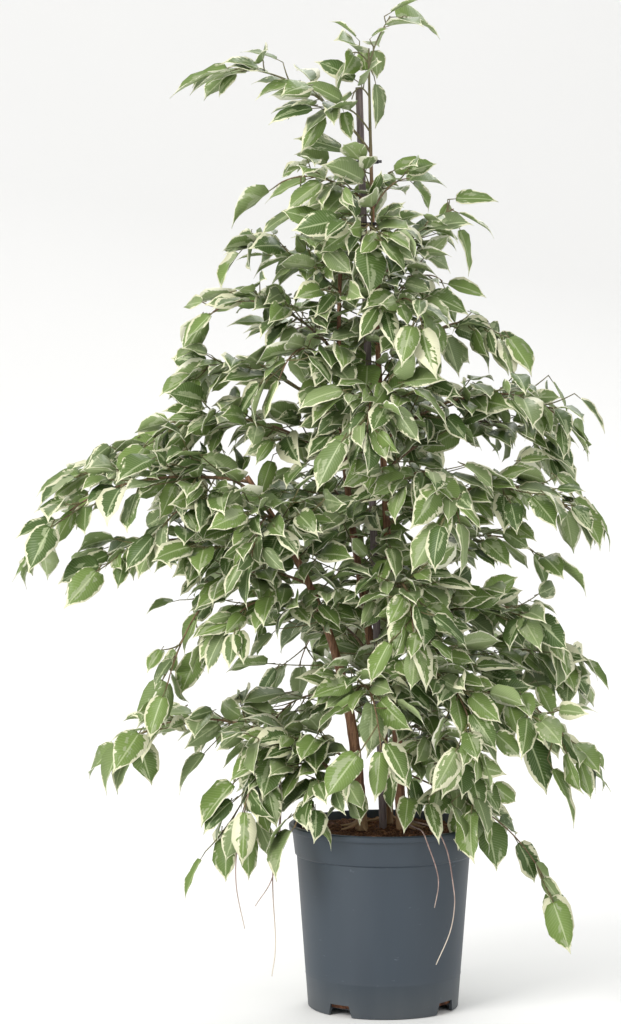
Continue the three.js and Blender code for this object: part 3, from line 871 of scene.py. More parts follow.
RIM_ROOTS = [
    [(22, -8, 206), (33, -56, 206), (40, -98, 208), (46, -107, 194), (55, -106, 168), (57, -104, 150),
     (53, -102, 126)],
    [(24, -8, 208), (48, -46, 207), (56, -91, 209), (67, -97, 186), (73, -97, 152), (75, -95, 128),
     (70, -95, 98), (55, -96, 63)],
]
rim_roots = wood_piece("rim_roots", [thread_run(points) for points in RIM_ROOTS], root_bark, 1)
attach(rim_roots, "root")
print("rim root faces", len(rim_roots.data.polygons))

# %% [markdown]
# ## The stake
#
# A straight cane holds the leader up. Its end is sawn flat, so a sharp edge is kept there while
# the sides are smooth. It could be a cylinder, but a run of points lets its thickness waver.

# %% Stake
STAKE_STEPS = 40
STAKE_RADIUS, STAKE_TAPER = 4.3, 0.3

stake_run = [(STAKE_FOOT.lerp(STAKE_TOP, i / STAKE_STEPS),
              STAKE_RADIUS - STAKE_TAPER * i / STAKE_STEPS + 0.07 * noise.noise(Vector((i * 0.7, 0, 0))))
             for i in range(STAKE_STEPS + 1)]
stake = wood_piece("stake_stick", [stake_run], stake_cane, 6)
stake.data.set_sharp_from_angle(angle=math.radians(40))
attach(stake, "root")
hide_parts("stake")
print("stake length", round((STAKE_TOP - STAKE_FOOT).length), "mm")

# %% [markdown]
# ## The ties
#
# Two black plastic ties hold the leader to the stake. A tie is a flat band that runs round both
# and through a small lock, and its tail sticks out. Half a ring is turned round the middle to
# give the other half, the line is extruded to the band's width and then gets its thickness. A
# scaled ring would be simpler, but its band would be thinner at the sides than at the ends.

# %% Ties
TIE_HEIGHTS = [934, 866]
BAND_RADIUS, BAND_WIDTH, BAND_THICKNESS = 5.0, 3.6, 1.0
LOCK_SIZE, LOCK_OUT = (3.4, 4.2, 4.4), 7.0
TAIL_SIZE, TAIL_OUT = (7, 1.0, 3.2), 10.0


def add_block(bm, size, x):
    """A box of a size in mm, its middle at a distance from the stake. Returns its corners."""
    verts = bmesh.ops.create_cube(bm, size=1)["verts"]
    bmesh.ops.scale(bm, vec=Vector(size) * MM, verts=verts)
    bmesh.ops.translate(bm, vec=(x * MM, 0, 0), verts=verts)
    return verts


def tie_band(height):
    """A flat band round the stake and the leading stem, closed by a small lock with a tail."""
    share = (height - STAKE_FOOT.z) / (STAKE_TOP.z - STAKE_FOOT.z)
    centre = STAKE_FOOT.lerp(STAKE_TOP, share)
    leader = STEMS["leader"][0]
    way = leader.point(leader.share_at(height)) - centre
    reach = math.hypot(way.x, way.y)
    bm = bmesh.new()
    ring = [out_from(90 + 15 * i) * BAND_RADIUS for i in range(13)]
    ring += [Vector((reach, 0, 0)) - spot for spot in ring]
    verts = [bm.verts.new(spot * MM) for spot in ring]
    edges = [bm.edges.new((a, b)) for a, b in zip(verts, verts[1:] + verts[:1])]
    raised = bmesh.ops.extrude_edge_only(bm, edges=edges)["geom"]
    bmesh.ops.translate(bm, vec=(0, 0, BAND_WIDTH * MM), verts=corners_in(raised))
    bmesh.ops.translate(bm, vec=(0, 0, -BAND_WIDTH / 2 * MM), verts=bm.verts)
    bmesh.ops.recalc_face_normals(bm, faces=bm.faces)
    bmesh.ops.solidify(bm, geom=bm.faces[:], thickness=-BAND_THICKNESS * MM)
    blocks = add_block(bm, LOCK_SIZE, reach + LOCK_OUT) + add_block(bm, TAIL_SIZE, reach + TAIL_OUT)
    bmesh.ops.bevel(bm, geom=list({e for v in blocks for e in v.link_edges}), offset=0.25 * MM,
                    affect="EDGES", segments=2, profile=0.5, material=-1)
    turn = Matrix.Rotation(math.atan2(way.y, way.x), 4, "Z")
    bmesh.ops.transform(bm, matrix=Matrix.Translation(centre * MM) @ turn, verts=bm.verts)
    return bm


for i, height in enumerate(TIE_HEIGHTS):
    tie = new_piece(f"tie_band_{i + 1}", tie_band(height), [tie_plastic], smooth=False)
    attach(tie, "root")
    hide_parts(f"tie_{i + 1}")
    print("tie faces", len(tie.data.polygons))

# %% [markdown]
# ## A leaf
#
# A leaf of this fig is oval with a broad base and a narrow drip tip. It folds up a little along
# its midrib and arches down to its tip. One modelled leaf would do for the outline, but all
# leaves would then be the same. Here a small grid gets its outline and bends from a formula, is
# given a thickness, and a thin cone is its stalk. A dozen such leaves, each with its own waves,
# are copied over the whole plant. The same formula in fewer steps made the solids.

# %% Sizes of a leaf
LEAF_LENGTH, STALK_LENGTH = 52, 10
# Shares of the blade's length
BLADE_HALF_WIDTH, BLADE_ARCH, BLADE_FOLD = 0.27, 0.16, 0.26
BLADE_THICKNESS, SMALLEST_EDGE = 0.0085, 0.0015
STALK = STALK_LENGTH / LEAF_LENGTH
STALK_FOOT_RADIUS, STALK_TOP_RADIUS = 0.015, 0.01
# Rows of corners along the blade, and its width at each of them
ROWS = [0, 0.06, 0.19, 0.38, 0.57, 0.73, 0.84, 0.91, 1]
WIDTHS = [0.1, 0.5, 0.86, 1.0, 0.96, 0.72, 0.34, 0.12, 0.0]
TIP_FROM = 0.72
LEAF_KINDS = 12
# The finishes of a branch and their numbers
FINISHES = [leaf_face, leaf_back, young_shoot, branch_bark, root_bark]
FACE, BACK, SHOOT, BARK, ROOT = range(5)
print("rows of corners on a leaf", len(ROWS), "kinds of leaf", LEAF_KINDS)


# %% Leaf templates
def bend_blade(bm, place, kind, stalk):
    """Gives a grid from -1 to 1 the outline and the bends of a blade of length 1."""
    phase = 2.1 * kind
    width = BLADE_HALF_WIDTH * (0.86 + 0.09 * (kind % 4))
    arch = BLADE_ARCH * (0.6 + 0.2 * (kind % 5))
    fold = BLADE_FOLD * (0.6 + 0.4 * (kind % 4))
    twist = 0.5 * math.sin(1.7 * kind + 1)
    reach = stalk + 1
    for vert in bm.verts:
        across = round(vert.co.x)
        row = round((vert.co.y + 1) / 2 * (len(ROWS) - 1))
        along = ROWS[row]
        scallop = 1 + 0.06 * math.sin(phase + 3 * across) + 0.05 * math.sin(2.4 * row * row + 2 * across)
        x = across * WIDTHS[row] * width * scallop
        wave = 0.035 * math.sin(2 * math.pi * (1.5 * along + 0.37 * kind)) * across * WIDTHS[row]
        z = fold * abs(x) + wave
        turn = twist * along
        x, z = x * math.cos(turn) - z * math.sin(turn), x * math.sin(turn) + z * math.cos(turn)
        x += 0.05 * math.sin(phase) * along ** 2
        y = stalk + along - 0.05 * abs(across) * (1 - along) * (1 if row else 0)
        # The drip tip curls under
        z -= (0.5 + 0.4 * (kind % 3)) * max(0, along - TIP_FROM) ** 2
        vert[place] = (across, along, 0)
        vert.co = (x, y, z - arch * reach * (y / reach) ** 2)


def add_stalk(bm, place, stalk):
    """A thin cone that runs into the base of the blade."""
    rod = bmesh.ops.create_cone(bm, segments=5, radius1=STALK_FOOT_RADIUS, radius2=STALK_TOP_RADIUS,
                                depth=STALK * 1.12, cap_ends=True)["verts"]
    bmesh.ops.rotate(bm, verts=rod, matrix=Matrix.Rotation(-math.pi / 2, 3, "X"))
    bmesh.ops.translate(bm, vec=(0, stalk - STALK * 0.47, -0.006), verts=rod)
    for vert in rod:
        vert[place] = (0, 0, 0)
        for face in vert.link_faces:
            face.material_index = SHOOT


def leaf_template(kind, stalk):
    """A blade of length 1 on its stalk, along +Y with its face up. Returns its mesh."""
    bm = bmesh.new()
    place = bm.verts.layers.float_vector.new(LEAF_PLACE)
    bmesh.ops.create_grid(bm, x_segments=2, y_segments=len(ROWS) - 1, size=1)
    bend_blade(bm, place, kind, stalk)
    first = bm.faces[:]
    bmesh.ops.solidify(bm, geom=first, thickness=BLADE_THICKNESS)
    bmesh.ops.remove_doubles(bm, verts=bm.verts, dist=SMALLEST_EDGE)
    # The grid's own faces may come to lie above or below the new ones
    first = {f for f in first if f.is_valid}
    first_is_face = sum(f.normal.z for f in first) >= 0
    for face in bm.faces:
        face.material_index = FACE if (face in first) == first_is_face else BACK
    add_stalk(bm, place, stalk)
    mesh = bpy.data.meshes.new(f"leaf_{kind}")
    bm.to_mesh(mesh)
    bm.free()
    return mesh


stalked_leaves = [leaf_template(kind, STALK) for kind in range(LEAF_KINDS)]
end_leaves = [leaf_template(kind, 0) for kind in range(LEAF_KINDS)]
print("leaf faces", len(end_leaves[0].polygons), "corners", len(end_leaves[0].vertices))

# %% [markdown]
# ## Where the leaves grow
#
# On the real plant a branch arches out from its stem, twigs leave it on both sides, and leaves
# sit on alternate sides of both. Leaves could be placed by hand, but there are two thousand. So
# each branch is one row of a list, and the rules of the solids grow its axis, its twigs and its
# leaves again. A row is its stem, its height on it, its direction in degrees, its reach, how
# far it rises and how far its tip hangs below its root, in mm.

# %% The branches
BRANCHES = [
    ("leader", 1038, 16, 24, 42, -56), ("leader", 1040, 196, 22, 16, -10),
    ("leader", 1004, 190, 20, 16, 2), ("leader", 966, 206, 56, 34, -22),
    ("leader", 944, 186, 150, 88, -90), ("leader", 884, 188, 108, 42, -22),
    ("back", 776, 174, 110, 74, -62), ("back", 716, 191, 142, 76, -52),
    ("back", 636, 184, 166, 90, -64), ("left", 566, 168, 186, 56, -30),
    ("left", 584, 185, 236, 14, 74), ("left", 500, 190, 208, 32, 0),
    ("left", 420, 214, 130, 52, -8), ("left", 236, 182, 250, 104, -64),
    ("left", 262, 205, 138, 66, 34), ("left", 224, 228, 108, 46, 12),
    ("left", 470, 193, 160, 34, 110), ("left", 250, 191, 150, 42, 58),
    ("back", 596, 188, 214, 72, -34), ("left", 540, 206, 136, 40, 6),
    ("leader", 880, 14, 42, 36, -36), ("leader", 790, 352, 86, 78, -92),
    ("leader", 758, 20, 78, 60, -46), ("leader", 686, 6, 128, 84, -62),
    ("leader", 626, 348, 196, 70, -28), ("leader", 592, 14, 190, 76, -22),
    ("leader", 534, 356, 208, 60, -14), ("leader", 478, 10, 164, 56, -26),
    ("leader", 408, 352, 184, 56, 0), ("leader", 356, 12, 204, 60, -16),
    ("leader", 322, 338, 214, 52, 40), ("leader", 268, 320, 118, 58, 44),
    ("leader", 264, 354, 168, -36, 134), ("leader", 826, 262, 84, 50, -16),
    ("leader", 742, 296, 104, 56, -12), ("back", 690, 236, 118, 52, -6),
    ("leader", 640, 262, 136, 56, 0), ("leader", 560, 300, 150, 54, 14),
    ("left", 520, 252, 116, 44, 16), ("leader", 446, 278, 150, 46, 26),
    ("left", 330, 284, 136, 56, 26), ("leader", 346, 304, 150, 52, 46),
    ("back", 812, 82, 92, 56, -20), ("back", 710, 122, 126, 58, -14),
    ("back", 624, 64, 148, 58, -4), ("back", 536, 108, 170, 56, 2),
    ("back", 452, 56, 176, 56, 12), ("back", 380, 118, 178, 58, 20),
    ("back", 300, 150, 160, 62, 28), ("back", 262, 66, 166, 62, 44),
]
# Roots that hang in the air: the branch's number, the share of its axis and points from there
HANGING_ROOTS = [
    (15, 0.94, [(0, 0, 0), (-12, -3, -58), (-13, -4, -100), (-4, -5, -146)]),
    (15, 0.66, [(0, 0, 0), (3, -4, -65), (-6, -6, -137), (-3, -6, -214), (-7, -5, -251)]),
    (15, 0.7, [(0, 0, 0), (8, -10, -60), (0, -10, -132), (-20, -12, -168)]),
]
# The number of the thin branch low on the right
SLENDER = 33
print("branches", len(BRANCHES))

# %% Rules of growth
LEAF_SPACING, TWIG_SPACING = 28, 59
# The turns about its root, in degrees, at which a leaf or a twig is tried
TURNS = [0, 25, -25, 50, -50, 80, -80]


def axis_of(row):
    """The curve of a branch: out from its stem, up and over, and down to its tip."""
    stem, height, azimuth, reach, rise, drop = row
    carrier = STEMS[stem][0]
    root = carrier.on_steps(carrier.share_at(height))
    out = out_from(azimuth)
    lifts = [(0, 0), (0.32, rise * 0.8), (0.75, rise * 1.05), (1, -drop)]
    steps = 4 if reach > 120 else 3
    return Cubic([root + out * (reach * share) + UP * lift for share, lift in lifts], steps)


def blade_length(seed):
    return LEAF_LENGTH * (0.78 + 0.36 * draw(*seed, 1))


def basis(root, way, facing):
    """A frame at a root: y along the way, and z as near to the facing as that leaves it."""
    along = way.normalized()
    face = (facing - along * facing.dot(along)).normalized()
    side = along.cross(face)
    return Matrix((
        (side.x, along.x, face.x, root.x),
        (side.y, along.y, face.y, root.y),
        (side.z, along.z, face.z, root.z),
        (0, 0, 0, 1)))


def turned(way, turn):
    """A direction turned about the vertical."""
    return Quaternion(UP, math.radians(turn)) @ way


def foothold(line, share):
    """The place at a share of a line, the line's direction there and the level way across it."""
    along = line.tangent(share)
    return line.on_steps(share), along, along.cross(UP).normalized()


def leaf_frame(line, share, side, seed, turn):
    """The frame of a leaf on the solids, in mm: y along it and z out of its upper face."""
    root, along, across = foothold(line, share)
    outward = Vector((root.x, root.y, 0)).normalized()

    def jitter(kind):
        return draw(*seed, kind) - 0.5
    way = along * (0.75 + 0.35 * share)
    way += across * (side * 0.95 * (1 - 0.75 * share) + 0.7 * jitter(2))
    way += outward * 0.12
    way += UP * (-0.34 - 0.14 * share + 1.1 * jitter(3))
    facing = UP * 0.7 + outward * 0.35 + across * (side * 0.3 + 1.6 * jitter(4))
    facing.y -= 0.4
    return basis(root, turned(way, turn), facing)


def twig_line(line, share, side, reach, seed, turn):
    """A twig of the solids."""
    root, along, across = foothold(line, share)
    length = reach * 0.4 * (1.2 - 0.85 * share) * (0.8 + 0.4 * draw(*seed, 1)) + 12
    way = (along * 0.8 + across * (side * (0.62 + 0.2 * draw(*seed, 2)))).normalized()
    way = turned(way - UP * 0.12, turn)
    return Straight(root, root + way * length)


def side_of(number):
    """Leaves sit on alternate sides: 1 or -1."""
    return 1 if number % 2 else -1


def leaf_shares(line, start, end, skipped):
    """Which places on a line hold leaves: (number, share), every second one from the tip in."""
    count = max(2, math.floor(line.length * (end - start) / LEAF_SPACING + 0.5))
    return [(i, start + (end - start) * i / count) for i in range(count - skipped, -1, -2)]


# %% A branch as it grows
class Branch:
    """A branch, or a group of shoots without an axis: its twigs and the frames of its blades."""

    def __init__(self, node, axis=None, reach=0):
        self.node, self.axis, self.reach = node, axis, reach
        # Twigs of the solids as (line, share of the axis, number), finer ones as (line, shift)
        self.twigs, self.fine_twigs = [], []
        # Each blade as (frame in mm, length, seed, whether it has a stalk, shift)
        self.blades = []

    def shift(self, share):
        """How far the fine axis lies from the steps of the solid at a share."""
        return self.axis.point(share) - self.axis.on_steps(share)

    def places(self, more):
        """The places for leaves on the axis and the twigs, as (line, share, number, shift).

        With more = 0 they are those of the solids, and with more = 1 those in between.
        """
        lines = [(self.axis, None, 0.36, 0.97, more, 0)]
        lines += [(line, at, 0.25, 1, more + 1, number) for line, at, number in self.twigs]
        for line, at, start, end, skipped, number in lines:
            for i, share in leaf_shares(line, start, end, skipped):
                yield line, share, number * 20 + i, self.shift(at or share)


# %% [markdown]
# ## Reading the turns from the solids
#
# The solids bent a leaf that would have crossed another about its root, by one of a few turns.
# The same tests for crossing could be run again here, but a rounding error in one of them would
# move a leaf. So the turn is read from the solid: the tip of a blade is one of its corners, and
# the turn whose tip has a corner there is the right one.

# %% Turns of twigs and leaves
# How far a corner of a solid may lie from where the rules put the tip
NEAR_ENOUGH = 0.1


def corners_of(node):
    """The corners of a solid in mm, as a tree that finds the nearest one."""
    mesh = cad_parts[node].data
    tree = KDTree(len(mesh.vertices))
    for i, vert in enumerate(mesh.vertices):
        tree.insert(vert.co / MM, i)
    tree.balance()
    return tree


def has_tip(corners, matrix, stalk, length, lift):
    """Whether a solid has a corner where the tip of a blade would be."""
    reach = stalk + length
    return corners.find(matrix @ Vector((0, reach, lift - BLADE_ARCH * reach)))[2] < NEAR_ENOUGH


def read_twigs(branch, index, corners):
    """Finds the twigs of a solid by the leaves at their ends."""
    count = branch.reach // TWIG_SPACING
    for i in range(count):
        share = 0.24 + 0.64 * i / max(count - 1, 1)
        side = side_of(i)
        seed = (index, 100 + i)
        length = blade_length(seed)
        for turn in TURNS:
            line = twig_line(branch.axis, share, side, branch.reach, seed, turn)
            matrix = leaf_frame(line, 1, side, seed, 0)
            if has_tip(corners, matrix, 0, length, 0.5):
                branch.twigs.append((line, share, i + 1))
                branch.blades.append((matrix, length, seed, False, branch.shift(share)))
                break


def read_leaves(branch, index, corners):
    """Finds the leaves along the axis and the twigs of a solid."""
    for line, share, number, shift in branch.places(0):
        seed = (index, number)
        length = blade_length(seed)
        for turn in TURNS:
            matrix = leaf_frame(line, share, side_of(number), seed, turn)
            if has_tip(corners, matrix, STALK_LENGTH, length, 0):
                branch.blades.append((matrix, length, seed, True, shift))
                break


grown = []
for index, row in enumerate(BRANCHES):
    branch = Branch(f"branch_{index + 1:02d}", axis_of(row), row[3])
    corners = corners_of(branch.node)
    read_twigs(branch, index, corners)
    read_leaves(branch, index, corners)
    grown.append(branch)
print("twigs read", sum(len(b.twigs) for b in grown))
print("leaves of the solids", sum(len(b.blades) for b in grown))

# %% [markdown]
# ## A test for crossing blades
#
# Real leaves push one another aside. Here a new leaf is kept only where its blade crosses none
# that is there, nor the pot, the soil, the stake or a stem. A physics run would also part them,
# but a yes or no for each leaf is quick and gives the same plant each time. Each blade is a tree
# of its faces, and only those in the cells round it are asked.

# %% Crossing blades
# The width of a cell: a little more than the longest blade
CELL = 70
NEIGHBOURS = [(dx, dy, dz) for dx in (-1, 0, 1) for dy in (-1, 0, 1) for dz in (-1, 0, 1)]


def blade_tree(matrix, length, stalk):
    """The blade of a leaf at a frame, as a tree for crossing tests."""
    mesh = (stalked_leaves if stalk else end_leaves)[0]
    verts = [matrix @ (v.co * length) for v in mesh.vertices]
    faces = [f.vertices[:] for f in mesh.polygons if f.material_index == FACE]
    return BVHTree.FromPolygons(verts, faces)


def node_tree_of(node):
    """A solid as such a tree."""
    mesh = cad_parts[node].data
    faces = [f.vertices[:] for f in mesh.polygons]
    return BVHTree.FromPolygons([v.co / MM for v in mesh.vertices], faces)


firm = [node_tree_of(n) for n in ("pot", "soil", "stake", "stem_left", "stem_back", "stem_leader")]
cells = {}


def cell_of(matrix, length):
    middle = matrix @ Vector((0, 0.5 * length, 0))
    return tuple(math.floor(c / CELL) for c in middle)


def settle(matrix, length, tree):
    """Notes a blade in its cell."""
    cells.setdefault(cell_of(matrix, length), []).append(tree)


def clear(matrix, length, tree):
    """Whether a blade crosses none of those near it and nothing firm."""
    x, y, z = cell_of(matrix, length)
    near = (other for dx, dy, dz in NEIGHBOURS for other in cells.get((x + dx, y + dy, z + dz), ()))
    return not any(tree.overlap(other) for other in near) and not any(tree.overlap(f) for f in firm)


for branch in grown:
    for matrix, length, _, stalk, _ in branch.blades:
        settle(matrix, length, blade_tree(matrix, length, stalk))
print("cells with blades", len(cells))

# %% [markdown]
# ## The outline of the crown
#
# The crown is the shape that one knows the plant by: wide and layered low down, open at the top,
# with gaps where one sees through it. Leaves that the rules alone placed would close the gaps
# and round the outline off. So the outline and the gaps are short lists of sizes. They were
# measured on the photograph, in mm on the upright plane through the pot's axis, and changed
# here and there after a look at the picture. A leaf stays inside the outline, out of the gaps
# and in the part's box.

# %% Outline of the crown
BOX_LOW, BOX_HIGH = (Vector(corner) / MM for corner in cad_box)
# How far a leaf may pass the box and the outline, and how far its middle stays from a gap
BOX_ROOM, EDGE_ROOM, GAP_ROOM = 4, 3, 4
# Heights with the left and the right edge
CROWN_EDGE = [
    (1130, -60, 62), (1080, -62, 70), (1058, -160, 12), (1027, -228, 5), (994, -150, 4), (958, -106, 6),
    (942, -118, 78), (925, -134, 76), (894, -168, 126), (861, -148, 96), (828, -200, 102), (794, -208, 114),
    (761, -228, 118), (738, -222, 122), (716, -238, 150), (695, -246, 184), (662, -250, 230),
    (636, -296, 246), (595, -352, 216), (562, -356, 232), (540, -420, 250), (520, -424, 254),
    (496, -422, 196), (480, -422, 184), (462, -422, 206), (440, -300, 206), (420, -256, 188),
    (396, -250, 196), (363, -268, 254), (330, -296, 240), (305, -320, 208), (280, -326, 212),
    (263, -326, 260), (246, -250, 260), (230, -206, 238), (197, -190, 220), (164, -212, 192),
    (131, -224, 200), (40, -224, 200),
]
# Places where one sees through the crown: their middles, half widths and half heights
CROWN_GAPS = [
    (-107, 372, 34, 54), (-180, 747, 40, 30), (-290, 545, 34, 38), (-194, 368, 30, 28), (92, 610, 25, 21),
    (-240, 275, 19, 26), (160, 492, 29, 17), (-176, 221, 24, 30), (-102, 697, 18, 25), (-377, 515, 28, 28),
    (76, 788, 32, 14), (71, 819, 21, 13), (-174, 815, 22, 15), (-99, 762, 25, 12), (-117, 888, 28, 11),
    (160, 626, 17, 18), (-92, 974, 22, 10), (180, 545, 22, 26), (-244, 468, 15, 13), (-89, 904, 17, 17),
    (-210, 250, 12, 17), (-182, 268, 16, 13), (-47, 290, 12, 34), (57, 894, 22, 14), (88, 874, 14, 12),
    (-232, 408, 24, 30), (-179, 165, 18, 24), (-330, 466, 22, 18), (133, 255, 13, 24), (-137, 722, 16, 16),
    (-132, 683, 17, 9), (-101, 192, 12, 22), (-150, 190, 10, 12), (-96, 255, 14, 12), (-139, 877, 14, 13),
    (25, 897, 12, 14), (-154, 446, 14, 15), (217, 634, 11, 14),
]
# The place where the bare stems show, and how far to the front a leaf may hang there
BARE_STEMS = (-14, 282, 22, 58)
STEMS_FRONT = -12


def seen(point):
    """Where the camera sees a point in mm, on the upright plane through the pot's axis."""
    scale = EYE.y / (EYE.y - point.y * MM)
    eye = EYE / MM
    return eye.x + (point.x - eye.x) * scale, eye.z + (point.z - eye.z) * scale


def crown_edges(height):
    """The left and the right edge of the crown at a height."""
    for (top, *upper), (foot, *lower) in zip(CROWN_EDGE, CROWN_EDGE[1:]):
        if top >= height >= foot:
            share = (top - height) / (top - foot)
            return [a + (b - a) * share for a, b in zip(upper, lower)]
    return 0, 0


def in_crown(matrix, length):
    """Whether a leaf stays in the part's box and in the outline and out of the gaps."""
    tip = matrix @ Vector((0, length * (1 + STALK), -BLADE_ARCH * length))
    middle = matrix @ Vector((0, 0.6 * length, 0))
    for point in (tip, middle):
        if any(point[k] < BOX_LOW[k] - BOX_ROOM or point[k] > BOX_HIGH[k] + BOX_ROOM for k in range(3)):
            return False
        x, z = seen(point)
        left, right = crown_edges(z)
        if not left - EDGE_ROOM < x < right + EDGE_ROOM:
            return False
    gaps = CROWN_GAPS + ([BARE_STEMS] if middle.y < STEMS_FRONT else [])
    return not any(math.hypot((x - mx) / (w + GAP_ROOM), (z - mz) / (h + GAP_ROOM)) < 1
                   for mx, mz, w, h in gaps)


print("heights", len(CROWN_EDGE), "gaps", len(CROWN_GAPS))

# %% [markdown]
# ## Leaves that stand out
#
# Above the upper tie the plant is open, and each leaf shows against the light. Others stand out
# at the ends of branches and over the rim. No rule would put them where they are, so they are
# set one by one: where the twig ends, where the leaf's tip comes to lie, which way its upper
# face looks, and its width as a share of a common leaf's. The twig grows from the nearest branch,
# and a leaf that would cross another is moved a little towards the front or the back.

# %% Places of the leaves that stand out
# Ways that an upper face looks, then each leaf's root, tip, facing and width
UPWARD, TO_FRONT, LEFT_UP, RIGHT_UP = (0, -0.3, 1), (0, -0.9, 0.35), (-0.5, -0.6, 0.6), (0.5, -0.6, 0.6)
PLACED_LEAVES = [
    # The top, down to the upper tie
    ((0, -8, 1093), (50, -10, 1112), (-0.3, 0.05, 0.95), 0.6),
    ((22, -10, 1093), (62, -14, 1072), (0.35, 0.05, 0.95), 0.6),
    ((-12, 0, 1062), (-7, 2, 1026), (0.3, -0.9, 0.3), 1.1),
    ((-19, -8, 1032), (-24, -22, 1060), (-0.2, -1, 0.2), 1.2),
    ((-27, -8, 1066), (-58, -12, 1089), (0.4, -0.3, 0.8), 0.7),
    ((-16, -8, 1068), (4, -12, 1080), (-0.3, -0.2, 0.9), 0.6),
    ((-25, -11, 1020), (-74, -14, 1046), (0.1, -0.8, 0.6), 1.1),
    ((-11, -10, 1027), (-6, -14, 972), (0.75, -0.65, 0.2), 0.85),
    ((-159, -21, 1038), (-233, -26, 1001), (-0.2, -0.6, 0.8), 0.7),
    ((-111, -17, 1042), (-155, -22, 1056), (0.1, -0.5, 0.9), 0.8),
    ((-92, -17, 1022), (-140, -32, 998), (-0.3, -0.7, 0.7), 0.95),
    ((-40, -22, 994), (-90, -28, 1018), (0.1, -0.8, 0.6), 0.9),
    ((-46, -24, 992), (-36, -32, 955), TO_FRONT, 0.9),
    ((-70, -32, 990), (-126, -40, 977), (-0.1, -0.6, 0.8), 0.7),
    ((-38, -14, 944), (-98, -26, 958), (-0.1, -0.7, 0.7), 1.0),
    # The right
    ((70, -8, 893), (125, -12, 892), (-0.2, -0.8, 0.5), 0.9),
    ((72, -6, 892), (60, -14, 866), (0.5, -0.8, 0.2), 0.9),
    ((80, -8, 868), (98, -14, 812), (0.6, -0.7, 0.2), 0.9),
    ((62, -10, 802), (112, -16, 786), RIGHT_UP, 0.8),
    ((66, -8, 752), (82, -24, 697), TO_FRONT, 1.0),
    ((88, -2, 756), (118, -16, 706), RIGHT_UP, 1.0),
    ((42, -6, 738), (54, -26, 688), TO_FRONT, 0.9),
    ((106, 4, 748), (138, -8, 700), RIGHT_UP, 0.9),
    ((150, -70, 318), (178, -80, 248), (0.3, -0.8, 0.5), 1.0),
    ((176, -80, 285), (206, -90, 212), (0.6, -0.6, 0.3), 0.6),
    ((158, 30, 372), (196, 28, 338), RIGHT_UP, 0.9),
    ((30, -34, 262), (38, -48, 216), TO_FRONT, 0.9),
    ((92, -40, 240), (78, -60, 186), TO_FRONT, 1.1),
    ((112, -36, 220), (120, -52, 160), TO_FRONT, 1.0),
    ((168, -20, 364), (186, -30, 322), TO_FRONT, 0.8),
    ((46, -78, 242), (58, -120, 204), TO_FRONT, 0.9),
    ((26, -70, 246), (20, -112, 212), TO_FRONT, 0.8),
    ((62, -50, 256), (50, -84, 216), RIGHT_UP, 0.9),
    ((14, -36, 268), (8, -60, 224), LEFT_UP, 0.9),
    ((72, -70, 238), (86, -116, 206), RIGHT_UP, 0.8),
    ((210, -10, 680), (246, -14, 640), (0.6, -0.3, 0.7), 0.6),
    ((203, -20, 575), (238, -26, 508), (0.7, -0.6, 0.3), 0.7),
    ((222, -8, 566), (254, -12, 510), (0.8, -0.5, 0.2), 0.6),
    ((214, 0, 390), (250, -2, 352), (0.3, -0.3, 0.9), 0.5),
    ((226, -30, 268), (254, -34, 240), (0.3, -0.4, 0.9), 0.6),
    ((182, 0, 700), (206, -6, 652), (0.8, -0.5, 0.2), 0.6),
    ((226, -10, 556), (246, -16, 520), (0.8, -0.5, 0.3), 0.6),
    # The left
    ((-200, -20, 402), (-224, -28, 348), TO_FRONT, 1.1),
    ((-118, -10, 420), (-148, -18, 382), LEFT_UP, 0.9),
    ((-132, 0, 428), (-140, -8, 390), TO_FRONT, 0.7),
    ((-226, -10, 452), (-262, -16, 438), UPWARD, 0.9),
    ((-196, -10, 486), (-224, -18, 456), LEFT_UP, 0.9),
    ((-118, 0, 752), (-152, -8, 742), UPWARD, 0.8),
    ((-96, -8, 822), (-124, -14, 796), LEFT_UP, 0.8),
    ((-128, -6, 832), (-162, -14, 826), UPWARD, 0.8),
    ((-190, -12, 722), (-221, -18, 732), (0, -0.7, 0.7), 1.2),
    ((-122, 4, 612), (-136, -14, 566), TO_FRONT, 1.0),
    ((-146, 6, 616), (-164, -8, 574), LEFT_UP, 1.0),
    ((-352, -30, 540), (-404, -34, 524), (-0.2, -0.6, 0.7), 0.8),
    ((-354, -26, 520), (-408, -30, 480), (-0.4, -0.5, 0.6), 0.7),
    ((-192, -20, 290), (-228, -32, 242), LEFT_UP, 0.8),
    ((-272, -14, 304), (-258, -24, 248), TO_FRONT, 1.0),
    ((-286, -8, 300), (-310, -14, 240), LEFT_UP, 1.0),
    ((-158, -58, 262), (-202, -66, 210), LEFT_UP, 1.0),
    ((-152, -64, 214), (-146, -72, 152), TO_FRONT, 1.0),
    ((-142, -58, 222), (-118, -68, 168), TO_FRONT, 0.9),
    ((-92, -18, 884), (-134, -24, 852), LEFT_UP, 0.8),
    ((-196, -60, 180), (-221, -66, 128), LEFT_UP, 0.55),
]
print("places", len(PLACED_LEAVES))


# %% Leaves that stand out
DEPTH_STEPS = [0, -12, 12, -24, 24, -36, 36]
# A twig starts the first share of an axis before the place nearest to its leaf, but nowhere
# before the second share
TWIG_START, FIRST_START = 0.08, 0.02


def aimed_leaf(root, tip, facing, width):
    """The frame and length of a leaf whose arched blade ends at a tip."""
    way = tip - root
    reach = way.length
    matrix = basis(root, way + facing.normalized() * (BLADE_ARCH * reach), facing)
    return matrix @ Matrix.Diagonal((width, 1, 1, 1)), reach / (1 + STALK)


def nearest_share(axis, spot):
    """How far an axis is from a spot, and the share of it that is nearest."""
    return min(((axis.point(i / 60) - spot).length, i / 60) for i in range(61))


